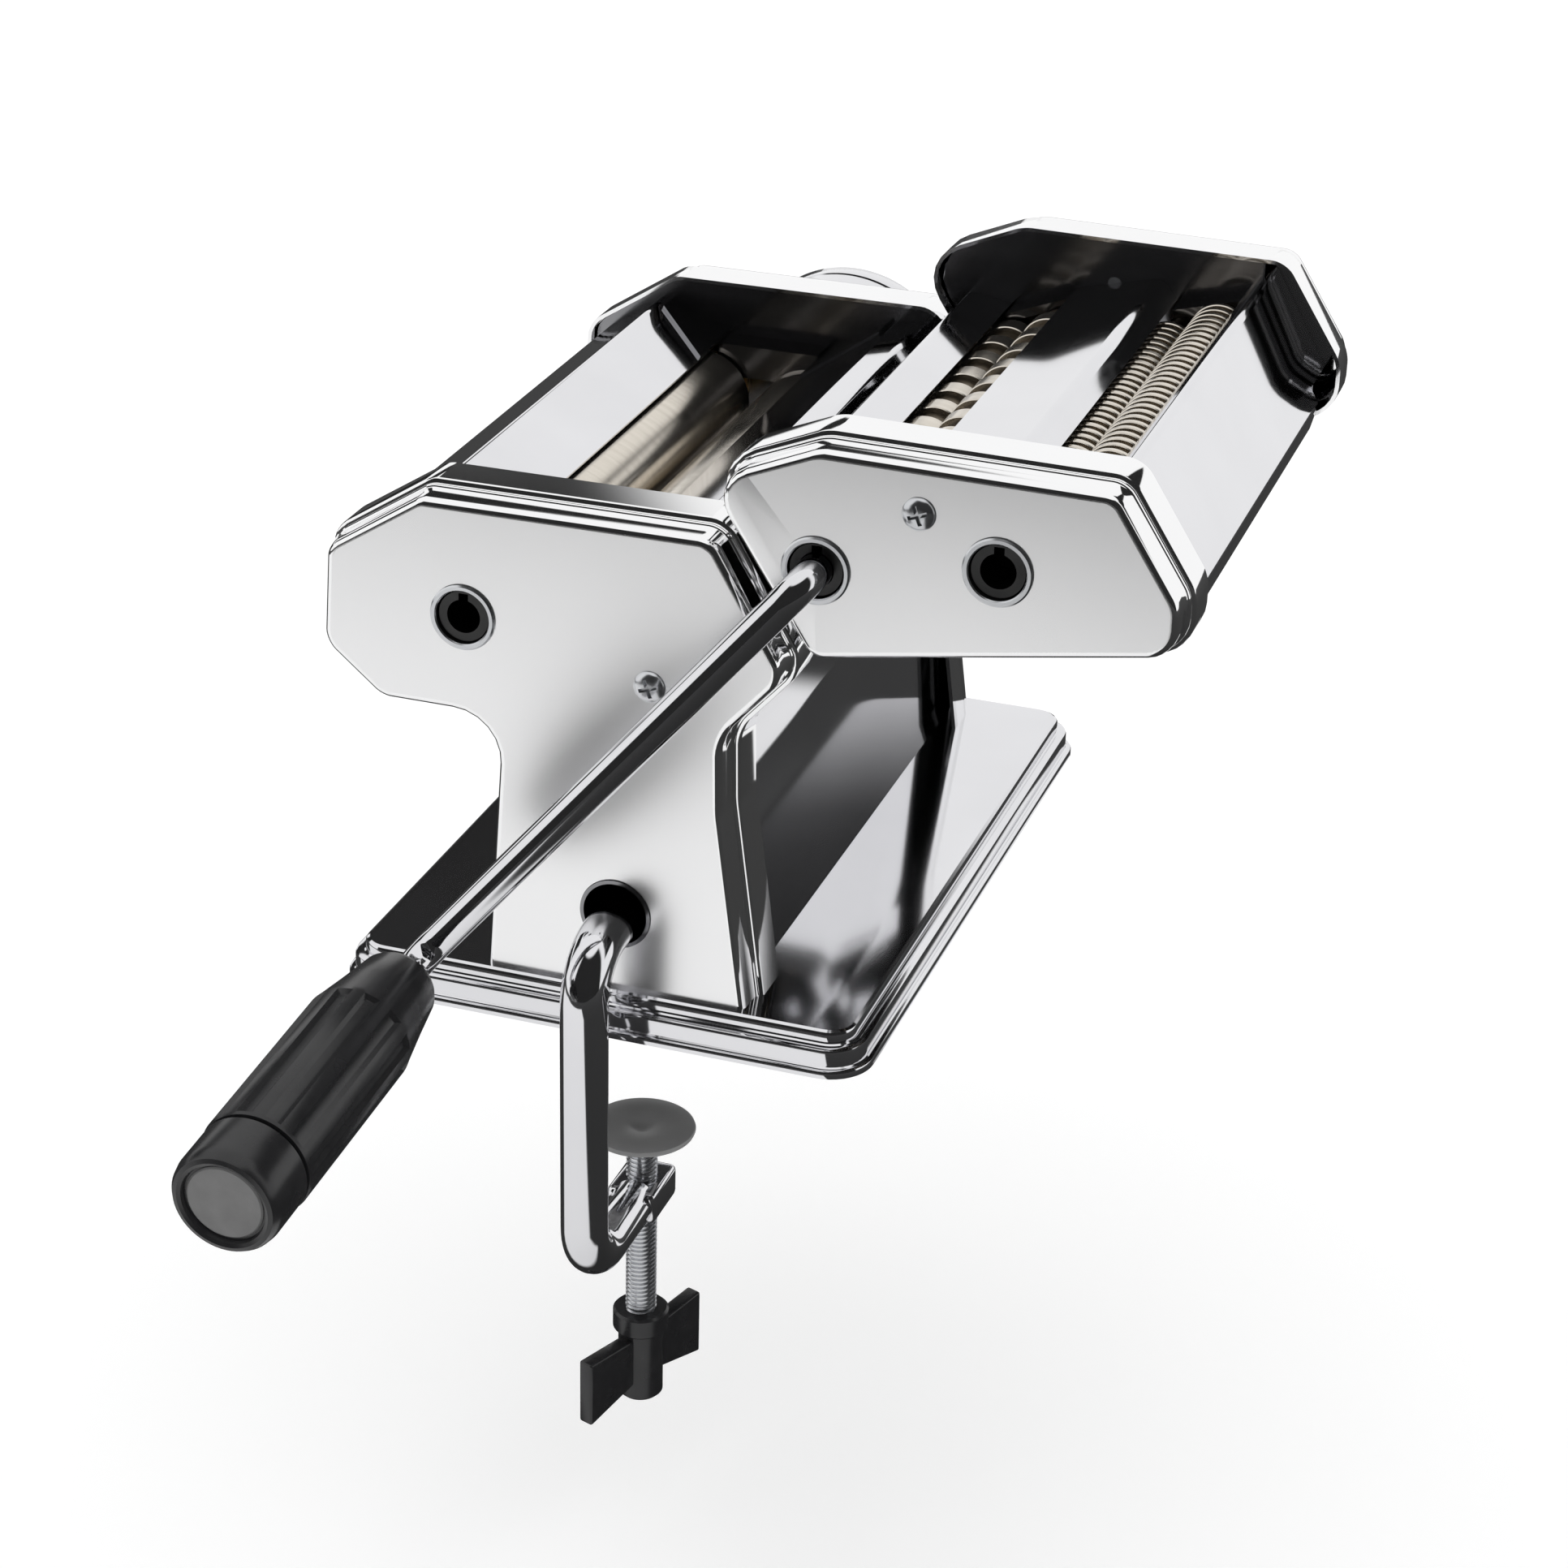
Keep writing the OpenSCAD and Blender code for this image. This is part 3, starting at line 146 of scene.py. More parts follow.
FINISHES = {
    Slot.CHROME: Finish(
        "polished chrome", (0.7, 0.7, 0.72), (0.8, 0.8, 0.82), 1, 0.05, 0.09, (40, 40, 40), 0.015
    ),
    Slot.FRAME: Finish(
        "frame steel", (0.2, 0.2, 0.21), (0.3, 0.3, 0.31), 1, 0.1, 0.18, (90, 90, 420), 0.03
    ),
    Slot.GEAR: Finish(
        "gear steel", (0.24, 0.24, 0.25), (0.38, 0.38, 0.39), 1, 0.3, 0.42, (260, 260, 260), 0.06
    ),
    Slot.ROLLER: Finish(
        "nickel plated rollers", (0.6, 0.55, 0.48), (0.78, 0.73, 0.65), 1, 0.16, 0.26,
        (60, 900, 60), 0.04,
    ),
    Slot.ZINC: Finish(
        "zinc plate", (0.52, 0.53, 0.55), (0.72, 0.73, 0.75), 1, 0.16, 0.3, (150, 150, 150), 0.04
    ),
    Slot.BRASS: Finish(
        "bush brass", (0.5, 0.33, 0.12), (0.66, 0.46, 0.2), 1, 0.22, 0.34, (200, 200, 200), 0.04
    ),
    Slot.RUBBER: Finish(
        "foot rubber", (0.012,) * 3, (0.03,) * 3, 0, 0.6, 0.8, (300, 300, 300), 0.2
    ),
    Slot.PLASTIC: Finish(
        "black plastic", (0.008, 0.008, 0.009), (0.018, 0.018, 0.019), 0, 0.2, 0.32,
        (500, 500, 500), 0.03,
    ),
}
COVER = Finish(
    "cover chrome", (0.9, 0.9, 0.905), (0.95, 0.95, 0.955), 1, 0.05, 0.08, (30, 30, 30), 0.01,
    flat_y=0.09496,
    flat_rough=0.26,
)
PAD_ZINC = Finish("turned zinc", (0.2,) * 3, (0.27,) * 3, 0, 0.3, 0.42, (200, 200, 200), 0.06)
# Painted shade: the sockets sunk in the covers' holes are near black steel. The colour stands in
# for the shade inside the holes.
SOCKET_PAINTED_SHADE = Finish("socket steel painted shade", (0.03,) * 3, (0.07,) * 3, 1, 0.25, 0.35, (200, 200, 200), 0.04)
# Painted shade: the cutter rollers' cores between the lands are a dark brown, far darker than the
# nickel of the lands. The colour stands in for the shade down in the grooves.
GROOVE_PAINTED_SHADE = Finish(
    "roller grooves painted shade", (0.1, 0.08, 0.06), (0.2, 0.16, 0.11), 1, 0.3, 0.42, (90, 400, 90), 0.05
)
GREY_DISC = Finish("grey disc", (0.1,) * 3, (0.16,) * 3, 0, 0.35, 0.5, (400, 400, 400), 0.05)


class Wiring:
    """Makes and links the nodes of one shader tree."""

    def __init__(self, tree: bpy.types.NodeTree) -> None:
        """Remembers the tree."""
        self.tree = tree

    def node(self, kind: str, inputs: dict, **settings: object) -> bpy.types.Node:
        """Makes a node.

        Args:
            kind: its type, after the word ShaderNode.
            inputs: for each input, the socket that feeds it or its value.
            settings: its other properties.

        Returns:
            The node.
        """
        made = self.tree.nodes.new(f"ShaderNode{kind}")
        for key, value in settings.items():
            setattr(made, key, value)
        self.feed(made, inputs)
        return made

    def feed(self, node: bpy.types.Node, inputs: dict) -> None:
        """Links or sets inputs of a node.

        Args:
            node: the node.
            inputs: for each input, the socket that feeds it or its value.
        """
        for key, value in inputs.items():
            if isinstance(value, bpy.types.NodeSocket):
                self.tree.links.new(value, node.inputs[key])
            else:
                node.inputs[key].default_value = value

    def math(self, operation: str, *values: object) -> bpy.types.NodeSocket:
        """Gives the result of a sum on sockets or numbers."""
        return self.node("Math", dict(enumerate(values)), operation=operation).outputs[0]

    def joined(self, operation: str, values: Iterable[object]) -> bpy.types.NodeSocket:
        """Combines any number of values, one after another."""
        return reduce(partial(self.math, operation), values)

    def mix(
        self, share: bpy.types.NodeSocket, first: Triple, second: Triple
    ) -> bpy.types.NodeSocket:
        """Blends from one colour to another."""
        inputs = {"A": (*first, 1), "B": (*second, 1), "Factor": share}
        return self.node("Mix", inputs, data_type="RGBA").outputs["Result"]

    def soft_edge(self, value: object, start: float, end: float) -> bpy.types.NodeSocket:
        """Gives a smooth step from 0 to 1 as a value goes from start to end."""
        inputs = {"Value": value, "From Min": start, "From Max": end}
        return self.node("MapRange", inputs, interpolation_type="SMOOTHSTEP").outputs["Result"]


class Materials:
    """Makes each finish once, all through one shared node group for streaks."""

    # For each kind of streak, its name and its noise's scale and detail
    noises = (("Tone", 0.6, 4), ("Gloss", 0.25, 3), ("Height", 1.7, 2))
    # In metres
    relief = 0.0001
    flat_blend = 0.00003

    def __init__(self) -> None:
        """Builds the shared group."""
        self._made: dict[str, bpy.types.Material] = {}
        self._streaks = self._streak_group()

    def _streak_group(self) -> bpy.types.NodeTree:
        """Builds the group that turns an object-space place into tone, gloss and height.

        Returns:
            The node group, with a vector and a scale going in.
        """
        group = bpy.data.node_groups.new("streaks", "ShaderNodeTree")
        for name in ("Place", "Scale"):
            group.interface.new_socket(name, in_out="INPUT", socket_type="NodeSocketVector")
        for name, _, _ in self.noises:
            group.interface.new_socket(name, in_out="OUTPUT", socket_type="NodeSocketFloat")
        wiring = Wiring(group)
        start, end = group.nodes.new("NodeGroupInput"), group.nodes.new("NodeGroupOutput")
        ends = {0: start.outputs["Place"], 1: start.outputs["Scale"]}
        scaled = wiring.node("VectorMath", ends, operation="MULTIPLY").outputs[0]
        for name, scale, detail in self.noises:
            noise = wiring.node("TexNoise", {"Vector": scaled, "Scale": scale, "Detail": detail})
            wiring.feed(end, {name: noise.outputs[0]})
        return group

    def dress(self, obj: bpy.types.Object, finish: Finish) -> None:
        """Gives an object one finish.

        Args:
            obj: the object.
            finish: its finish, made into a material when it is first used.
        """
        if finish.name not in self._made:
            self._made[finish.name] = self._material(finish)
        obj.data.materials.clear()
        obj.data.materials.append(self._made[finish.name])

    def _material(self, finish: Finish) -> bpy.types.Material:
        """Makes the material of a finish.

        Args:
            finish: the finish.

        Returns:
            Its procedural material.
        """
        material = bpy.data.materials.new(finish.name)
        material.use_nodes = True
        wiring = Wiring(material.node_tree)
        place = wiring.node("TexCoord", {}).outputs["Object"]
        scale = wiring.node("CombineXYZ", dict(enumerate(finish.scale))).outputs[0]
        inputs = {"Place": place, "Scale": scale}
        streaks = wiring.node("Group", inputs, node_tree=self._streaks).outputs
        low, high = finish.rough_low, finish.rough_high
        inputs = {"Value": streaks["Gloss"], "To Min": low, "To Max": high}
        rough = wiring.node("MapRange", inputs).outputs["Result"]
        if finish.flat_y:
            rough = self._with_flat(wiring, finish, place, rough)
        inputs = {"Height": streaks["Height"], "Strength": finish.bump, "Distance": self.relief}
        shader = {
            "Base Color": wiring.mix(streaks["Tone"], finish.dark, finish.light),
            "Roughness": rough,
            "Metallic": finish.metallic,
            "Normal": wiring.node("Bump", inputs).outputs["Normal"],
        }
        wiring.feed(material.node_tree.nodes["Principled BSDF"], shader)
        return material

    def _with_flat(
        self,
        wiring: Wiring,
        finish: Finish,
        place: bpy.types.NodeSocket,
        rough: bpy.types.NodeSocket,
    ) -> bpy.types.NodeSocket:
        """Gives the large flat face its own roughness.

        Args:
            wiring: the material's nodes.
            finish: the finish.
            place: the place on the object.
            rough: the roughness elsewhere.

        Returns:
            The roughness everywhere.
        """
        away = wiring.node("SeparateXYZ", {0: place}).outputs["Y"]
        inputs = {
            "Value": wiring.math("ABSOLUTE", away),
            "From Min": finish.flat_y,
            "From Max": finish.flat_y + self.flat_blend,
            "To Min": rough,
            "To Max": finish.flat_rough,
        }
        return wiring.node("MapRange", inputs).outputs["Result"]


# Shared shapes


@dataclass(frozen=True)
class Corner:
    """A corner of a flat outline: its two coordinates and the radius that rounds it."""

    a: float
    b: float
    radius: float = 0.0

    @property
    def spot(self) -> Vector:
        """Its place in the flat."""
        return Vector((self.a, self.b))


Outline = tuple[Corner, ...]


@dataclass(frozen=True)
class Axis:
    """A line along Y, the direction of every roller."""

    x: float
    z: float

    @property
    def place(self) -> Matrix:
        """The place on the line whose own Z runs along +Y."""
        return Matrix.Translation((self.x, 0, self.z)) @ Matrix.Rotation(-math.pi / 2, 4, "X")


def outline(*corners: tuple[float, ...]) -> Outline:
    """Makes an outline from the coordinates and radii of its corners."""
    return tuple(Corner(*corner) for corner in corners)


def legs(corners: Sequence[Corner], i: int) -> tuple[Vector, Vector]:
    """Gives the ways into and out of corner i of a closed outline."""
    before, here, after = (corners[k % len(corners)].spot for k in (i - 1, i, i + 1))
    return here - before, after - here


def turn_between(first: Vector, second: Vector) -> float:
    """Gives the angle from one flat direction to another, positive to the left."""
    return math.atan2(first.x * second.y - first.y * second.x, first.dot(second))


def rounding(corners: Sequence[Corner], i: int) -> float:
    """Gives how far from corner i of a closed outline its rounding starts."""
    return corners[i].radius * math.tan(abs(turn_between(*legs(corners, i))) / 2)


def moved_corners(corners: Sequence[Corner], grow: float) -> list[Corner]:
    """Moves a closed outline outwards by an even distance.

    Args:
        corners: corners counterclockwise.
        grow: distance outwards; negative moves inwards.

    Returns:
        The moved corners, with their radii changed to stay concentric.
    """
    least = 0.05
    moved = []
    for i, corner in enumerate(corners):
        way_in, way_out = (leg.normalized() for leg in legs(corners, i))
        side_in, side_out = Vector((way_in.y, -way_in.x)), Vector((way_out.y, -way_out.x))
        place = corner.spot + (side_in + side_out) * grow / (1 + side_in.dot(side_out))
        change = math.copysign(grow, turn_between(way_in, way_out) * grow)
        radius = max(corner.radius + change, least) if corner.radius else 0
        moved.append(Corner(place.x, place.y, radius))
    return moved


def shifted(profile: Profile, by: float) -> list[tuple[float, float]]:
    """Moves a profile of (radius, length) along its axis."""
    return [(radius, length + by) for radius, length in profile]


def only_verts(geom: Iterable[object]) -> list[BMVert]:
    """Picks the vertices out of what an operator made."""
    return [item for item in geom if isinstance(item, BMVert)]


def edges_at(verts: Iterable[BMVert]) -> list[BMEdge]:
    """Gives the edges that touch any of the vertices."""
    return list({edge for vert in verts for edge in vert.link_edges})


def round_off(
    bm: BMesh, geom: Sequence, offset: float, segments: int, affect: Affect = Affect.EDGES
) -> None:
    """Bevels edges or vertices.

    Args:
        bm: the mesh.
        geom: what is bevelled.
        offset: how far from it the rounding starts.
        segments: segments across the rounding.
        affect: whether edges or vertices are rounded.
    """
    bmesh.ops.bevel(
        bm,
        geom=geom,
        offset=offset,
        offset_type="OFFSET",
        segments=segments,
        profile=0.5,
        affect=affect.value,
        clamp_overlap=False,
        material=-1,
    )


def cut_below(bm: BMesh, faces: Sequence[BMFace], height: float) -> None:
    """Cuts off what lies below a height.

    Args:
        bm: the mesh.
        faces: the faces that may be cut.
        height: where the cut is.
    """
    geom = set(faces) | {v for f in faces for v in f.verts} | {e for f in faces for e in f.edges}
    bmesh.ops.bisect_plane(
        bm, geom=list(geom), plane_co=(0, 0, height), plane_no=(0, 0, 1), clear_inner=True
    )


@dataclass(frozen=True)
class Pressing:
    """A sheet pressed out of an outline through a stepped rim.

    Args:
        corners: corners of its face, counterclockwise.
        rim: section of its rim, as pairs of how far outside the outline and how high.
        wall: thickness of the sheet.
        out: direction that its face looks in.
        place: turns the two flat coordinates into a place at a height of zero.
        steps: segments in each rounded corner.
        foot: Z where it is cut off, or none.
    """

    corners: Sequence[Corner]
    rim: Profile
    wall: float
    out: Triple
    place: Callable[[float, float], Triple]
    steps: int = 6
    foot: float | None = None

    def fill(self, bm: BMesh) -> None:
        """Raises the sheet through its steps, cuts its foot off and thickens it.

        Args:
            bm: empty mesh to fill.
        """
        out = Vector(self.out)
        outside, height = self.rim[0]
        corners = moved_corners(self.corners, outside)
        verts = [bm.verts.new(Vector(self.place(c.a, c.b)) + out * height) for c in corners]
        bm.faces.new(verts)
        for i, vert in enumerate(verts):
            if corners[i].radius:
                round_off(bm, [vert], rounding(corners, i), self.steps, Affect.VERTICES)
        bm.faces.ensure_lookup_table()
        face = bm.faces[-1]
        face.normal_update()
        if face.normal.dot(out) < 0:
            face.normal_flip()
        for (wide, low), (narrow, high) in zip(self.rim, self.rim[1:]):
            bmesh.ops.inset_region(
                bm,
                faces=[face],
                thickness=wide - narrow,
                depth=high - low,
                use_even_offset=True,
                use_boundary=True,
            )
        if self.foot is not None:
            cut_below(bm, bm.faces[:], self.foot)
        bmesh.ops.recalc_face_normals(bm, faces=bm.faces)
        if max(bm.faces, key=lambda f: f.calc_area()).normal.dot(out) < 0:
            bmesh.ops.reverse_faces(bm, faces=bm.faces)
        bmesh.ops.solidify(bm, geom=bm.faces[:], thickness=self.wall)


def sharpen(bm: BMesh, limit_area: float) -> None:
    """Shades a mesh smooth, apart from large flat faces and sharp edges.

    Args:
        bm: the mesh.
        limit_area: faces larger than this are shaded flat.
    """
    for face in bm.faces:
        face.smooth = face.calc_area() < limit_area
    for edge in bm.edges:
        if len(edge.link_faces) == 2 and edge.calc_face_angle(0) > math.radians(SHARP_TURN):
            edge.smooth = False


def cut_out(target: bpy.types.Object, cutter: bpy.types.Object) -> None:
    """Takes one mesh out of another for good, and removes the cutter.

    Args:
        target: object that loses the volume.
        cutter: closed object that is taken out.
    """
    modifier = target.modifiers.new("cut", "BOOLEAN")
    modifier.operation = "DIFFERENCE"
    modifier.solver = "EXACT"
    modifier.object = cutter
    graph = bpy.context.evaluated_depsgraph_get()
    mesh = bpy.data.meshes.new_from_object(target.evaluated_get(graph))
    target.modifiers.clear()
    old, target.data = target.data, mesh
    bpy.data.meshes.remove(old)
    tool = cutter.data
    bpy.data.objects.remove(cutter)
    bpy.data.meshes.remove(tool)
    bm = bmesh.new()
    bm.from_mesh(target.data)
    sharpen(bm, FLAT_AREA * METRES**2)
    bm.to_mesh(target.data)
    bm.free()


def linked(name: str, data: bpy.types.ID) -> bpy.types.Object:
    """Makes an object of a mesh, curve or camera, and links it to the scene."""
    obj = bpy.data.objects.new(name, data)
    bpy.context.scene.collection.objects.link(obj)
    return obj


def object_from(fill: Fill, name: str) -> bpy.types.Object:
    """Makes a linked object in metres.

    Args:
        fill: fills its mesh in millimetres, with closed skins.
        name: name of the object.

    Returns:
        The object, at the origin and unscaled.
    """
    bm = bmesh.new()
    fill(bm)
    bmesh.ops.recalc_face_normals(bm, faces=bm.faces)
    sharpen(bm, FLAT_AREA)
    bmesh.ops.scale(bm, vec=(METRES,) * 3, verts=bm.verts)
    mesh = bpy.data.meshes.new(name)
    bm.to_mesh(mesh)
    bm.free()
    return linked(name, mesh)


def along_line(start: Vector, direction: Vector) -> Matrix:
    """Gives the place whose own Z runs along a direction from a start."""
    return Matrix.Translation(start) @ direction.to_track_quat("Z", "Y").to_matrix().to_4x4()


def lathe(bm: BMesh, place: Matrix, profile: Profile, steps: int = 64) -> None:
    """Spins a profile round the place's own Z.

    Args:
        bm: mesh to add to.
        place: where the axis is.
        profile: pairs of radius and length along the axis; radius zero touches the axis.
        steps: segments round the axis.
    """
    verts = [bm.verts.new(place @ Vector((radius, 0, length))) for radius, length in profile]
    edges = [bm.edges.new(pair) for pair in zip(verts, verts[1:])]
    bmesh.ops.spin(
        bm,
        geom=verts + edges,
        cent=place.translation,
        axis=place.to_3x3().col[2],
        angle=math.tau,
        steps=steps,
        use_merge=True,
    )
    bmesh.ops.remove_doubles(bm, verts=bm.verts, dist=MERGE)


def turned(turns: Sequence[tuple[Matrix, Profile]], steps: int = 64) -> Fill:
    """Gives the function that spins each profile round its own place.

    Args:
        turns: place and profile of each solid.
        steps: segments round the axis.

    Returns:
        A function that fills a mesh.
    """

    def fill(bm: BMesh) -> None:
        """Spins the profiles."""
        for place, profile in turns:
            lathe(bm, place, profile, steps)

    return fill


def rod_between(place: Matrix, radius: float, start: float, end: float, steps: int) -> Fill:
    """Gives the function that fills a plain cylinder, such as for cutting a round hole."""
    profile = [(0, start), (radius, start), (radius, end), (0, end)]
    return turned([(place, profile)], steps)


def block(bm: BMesh, place: Matrix, size: Triple, bevel: float) -> None:
    """Adds a block with rounded edges, centred on a place.

    Args:
        bm: mesh to add to.
        place: its centre and turn.
        size: its three lengths.
        bevel: radius of its edges.
    """
    scale = Matrix.Diagonal((*size, 1))
    verts = bmesh.ops.create_cube(bm, size=1, matrix=place @ scale)["verts"]
    round_off(bm, edges_at(verts), bevel, 3)


def prism(bm: BMesh, points: Sequence[Sequence[float]], move: Vector) -> list[BMVert]:
    """Adds a flat face and draws it out into a solid.

    Args:
        bm: mesh to add to.
        points: corners of the face.
        move: how far it is drawn out.

    Returns:
        The vertices of the solid.
    """
    verts = [bm.verts.new(point) for point in points]
    moved = only_verts(bmesh.ops.extrude_face_region(bm, geom=[bm.faces.new(verts)])["geom"])
    bmesh.ops.translate(bm, vec=move, verts=moved)
    return verts + moved


def draw_ring(bm: BMesh, edges: Sequence[BMEdge], move: Vector) -> tuple[list, list]:
    """Draws a closed ring of edges out.

    Args:
        bm: the mesh.
        edges: the ring.
        move: how far it goes.

    Returns:
        The new ring's vertices and its edges.
    """
    made = bmesh.ops.extrude_edge_only(bm, edges=edges)["geom"]
    verts = only_verts(made)
    bmesh.ops.translate(bm, vec=move, verts=verts)
    ring = set(verts)
    return verts, [e for e in made if isinstance(e, BMEdge) and ring.issuperset(e.verts)]


def bent_rod(bm: BMesh, points: Sequence[Vector], bend_radius: float, radius: float) -> None:
    """Runs a round rod through points, with a spun bend at each inner point.

    Args:
        bm: mesh to add to.
        points: where its straight lengths meet.
        bend_radius: radius of the centre line in a bend.
        radius: radius of the rod.
    """
    sides, bend_steps, end_bevel = 40, 12, 0.12 * radius
    here, way = points[0], (points[1] - points[0]).normalized()
    place = along_line(here, way)
    circle = bmesh.ops.create_circle(bm, radius=radius, segments=sides, matrix=place)
    first = edges = edges_at(circle["verts"])
    for corner, target in zip(points[1:], points[2:]):
        after = (target - corner).normalized()
        turn = way.angle(after)
        start = corner - way * bend_radius * math.tan(turn / 2)
        verts, edges = draw_ring(bm, edges, start - here)
        side = (after - way * way.dot(after)).normalized()
        middle = start + side * bend_radius
        last = bmesh.ops.spin(
            bm,
            geom=verts + edges,
            cent=middle,
            axis=way.cross(after),
            angle=turn,
            steps=bend_steps,
        )["geom_last"]
        edges = [e for e in last if isinstance(e, BMEdge)]
        here = middle + (way * math.sin(turn) - side * math.cos(turn)) * bend_radius
        way = after
    for ends in (first, draw_ring(bm, edges, points[-1] - here)[1]):
        bmesh.ops.contextual_create(bm, geom=ends)
        round_off(bm, ends, end_bevel, 2)


# Pieces


@dataclass(frozen=True)
class Piece:
    """A detailed piece of the model.

    Args:
        name: name of its object.
        body: body it rides.
        slot: material slot it takes its finish from.
        replaced: CAD nodes that it stands for.
        shape: fills its mesh, or none for a copy of the CAD node that it stands for.
        finish: a finish of its own, or none for the slot's.
        cutters: each fills a mesh that is taken out of it.
    """

    name: str
    body: Body
    slot: Slot
    replaced: Sequence[str]
    shape: Fill | None
    finish: Finish | None = None
    cutters: Sequence[Fill] = ()

    def build(self) -> bpy.types.Object:
        """Makes the object and cuts it.

        Returns:
            The object.
        """
        obj = object_from(self.shape, self.name) if self.shape else self._copy()
        for cutter in self.cutters:
            cut_out(obj, object_from(cutter, f"{self.name}_cutter"))
        return obj

    def _copy(self) -> bpy.types.Object:
        """Copies the CAD node that the piece stands for.

        Returns:
            The copy, at the origin.
        """
        node = frame["nodes"][self.replaced[0]]
        mesh = node.data.copy()
        mesh.transform(node.matrix_world)
        return linked(self.name, mesh)

    def place(self, materials: Materials) -> bpy.types.Object:
        """Builds the piece, gives it its finish and joins it to its body.

        Args:
            materials: where finishes become materials.

        Returns:
            The finished object.
        """
        obj = self.build()
        materials.dress(obj, self.finish or FINISHES[self.slot])
        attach(obj, self.body.value)
        if self.replaced:
            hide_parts(*self.replaced)
        return obj


# Axes of the rollers and of the clamp's socket
DRIVE = Axis(-34.61, 101.88)
ADJUST = Axis(-6.22, 98.40)
WIDE = Axis(50.90, 126.98)
WIDE_DRIVEN = Axis(63.42, 132.80)
NARROW = Axis(92.61, 133.07)
NARROW_DRIVEN = Axis(105.13, 138.88)
CLAMP_SOCKET = Axis(3.51, 31.40)


@dataclass(frozen=True)
class Assembly:
    """A group of pieces, with the sizes that several groups share.

    Args:
        base_h: height of the base.
        frame_in: Y of the inside of the frame plates.
        frame_out: Y of their outside.
        rim_y: Y of the open edge of the covers.
        face_y: Y of their face.
        cover_wall: thickness of the covers.
    """

    base_h: float = 11.7
    frame_in: float = 79.0
    frame_out: float = 81.0
    rim_y: float = 75.5
    face_y: float = 95.0
    cover_wall: float = 1.0

    def pieces(self) -> list[Piece]:
        """Lists its pieces."""
        raise NotImplementedError


@dataclass(frozen=True)
class Base(Assembly):
    """The stepped base, pressed from one sheet."""

    width: float = 135.0
    depth: float = 203.4
    corner_r: float = 11.0
    corner_steps: int = 10
    wall: float = 1.2
    rim: Profile = (
        (0.0, 1.25), (0.0, 2.65), (-0.2, 3.05), (-0.6, 3.25), (-1.2, 3.30), (-1.55, 3.6),
        (-1.6, 4.1), (-1.6, 7.2), (-1.8, 7.8), (-2.3, 8.05), (-3.8, 8.10), (-4.2, 8.4),
        (-4.2, 10.7), (-4.5, 11.3), (-5.2, 11.7),
    )

    def pieces(self) -> list[Piece]:
        """Lists the tray."""
        x, y, r = self.width / 2, self.depth / 2, self.corner_r
        tray = Pressing(
            outline((-x, -y, r), (x, -y, r), (x, y, r), (-x, y, r)),
            self.rim,
            self.wall,
            (0, 0, 1),
            lambda a, b: (a, b, 0),
            self.corner_steps,
        )
        return [Piece("base_tray", Body.ROOT, Slot.CHROME, ["base_plate"], tray.fill)]


@dataclass(frozen=True)
class Covers(Assembly):
    """The pressed side covers, with their round holes.

    Args:
        rim: section of their rim, as pairs of how far outside the face and Y.
        ring_hole: radius of the holes for the socket rings.
        clamp_hole: radius of the hole for the clamp.
        shaft_hole: radius of the hole for the dial's shaft.
        cut: Y where the tools that cut the holes start and end.
    """

    rim: Profile = (
        (3.40, 75.50), (3.40, 85.60), (3.22, 86.10), (2.80, 86.36), (2.20, 86.40), (2.02, 86.62),
        (2.20, 86.86), (2.24, 87.20), (2.04, 87.50), (1.74, 87.62), (1.62, 87.90), (1.46, 90.60),
        (1.38, 93.00), (1.26, 93.70), (0.98, 94.30), (0.56, 94.74), (0.16, 94.93), (-0.10, 94.97),
        (-0.50, 95.00),
    )
    main_face: Outline = outline(
        (-28.95, 3.0), (36.0, 3.0), (28.0, 62.1, 25.0), (27.6, 82.3, 14.0), (42.8, 99.3, 5.0),
        (25.4, 128.8, 4.0), (-45.0, 128.4, 3.0), (-67.8, 113.6, 4.0), (-69.2, 90.4, 5.0),
        (-55.6, 79.1, 5.0), (-24.0, 79.1, 13.0),
    )
    cutter_face: Outline = outline(
        (50.9, 106.6, 3.5), (132.0, 120.0, 6.0), (132.0, 130.4, 6.0), (117.3, 153.0, 3.5),
        (50.5, 153.8, 8.0), (26.4, 143.8, 7.0),
    )
    ring_hole: float = 7.4
    clamp_hole: float = 9.0
    shaft_hole: float = 4.3
    hole_steps: int = 48
    cut: tuple[float, float] = (70.0, 100.0)

    def pieces(self) -> list[Piece]:
        """Lists the four covers."""
        ring = self.ring_hole
        sockets = {DRIVE: ring, CLAMP_SOCKET: self.clamp_hole}
        return [
            self._cover("crank_side_cover", Body.ROOT, Side.CRANK, sockets),
            self._cover("dial_side_cover", Body.ROOT, Side.FAR, {ADJUST: self.shaft_hole}),
            self._cover(
                "cutter_crank_side_cover", Body.CUTTER, Side.CRANK, {WIDE: ring, NARROW: ring}
            ),
            self._cover("cutter_far_side_cover", Body.CUTTER, Side.FAR, {}),
        ]

    def _cover(self, name: str, body: Body, side: Side, holes: dict[Axis, float]) -> Piece:
        """Makes one cover.

        Args:
            name: its name, and that of the CAD node it stands for.
            body: body it rides.
            side: end of the machine it is at.
            holes: radius of each round hole.

        Returns:
            The piece.
        """
        main = body is Body.ROOT
        sheet = Pressing(
            self.main_face if main else self.cutter_face,
            self.rim,
            self.cover_wall,
            (0, side, 0),
            lambda a, b: (a, 0, b),
            foot=self.base_h if main else None,
        )
        ends = sorted(side * y for y in self.cut)
        cutters = [rod_between(a.place, r, *ends, self.hole_steps) for a, r in holes.items()]
        return Piece(name, body, Slot.CHROME, [name], sheet.fill, COVER, cutters)


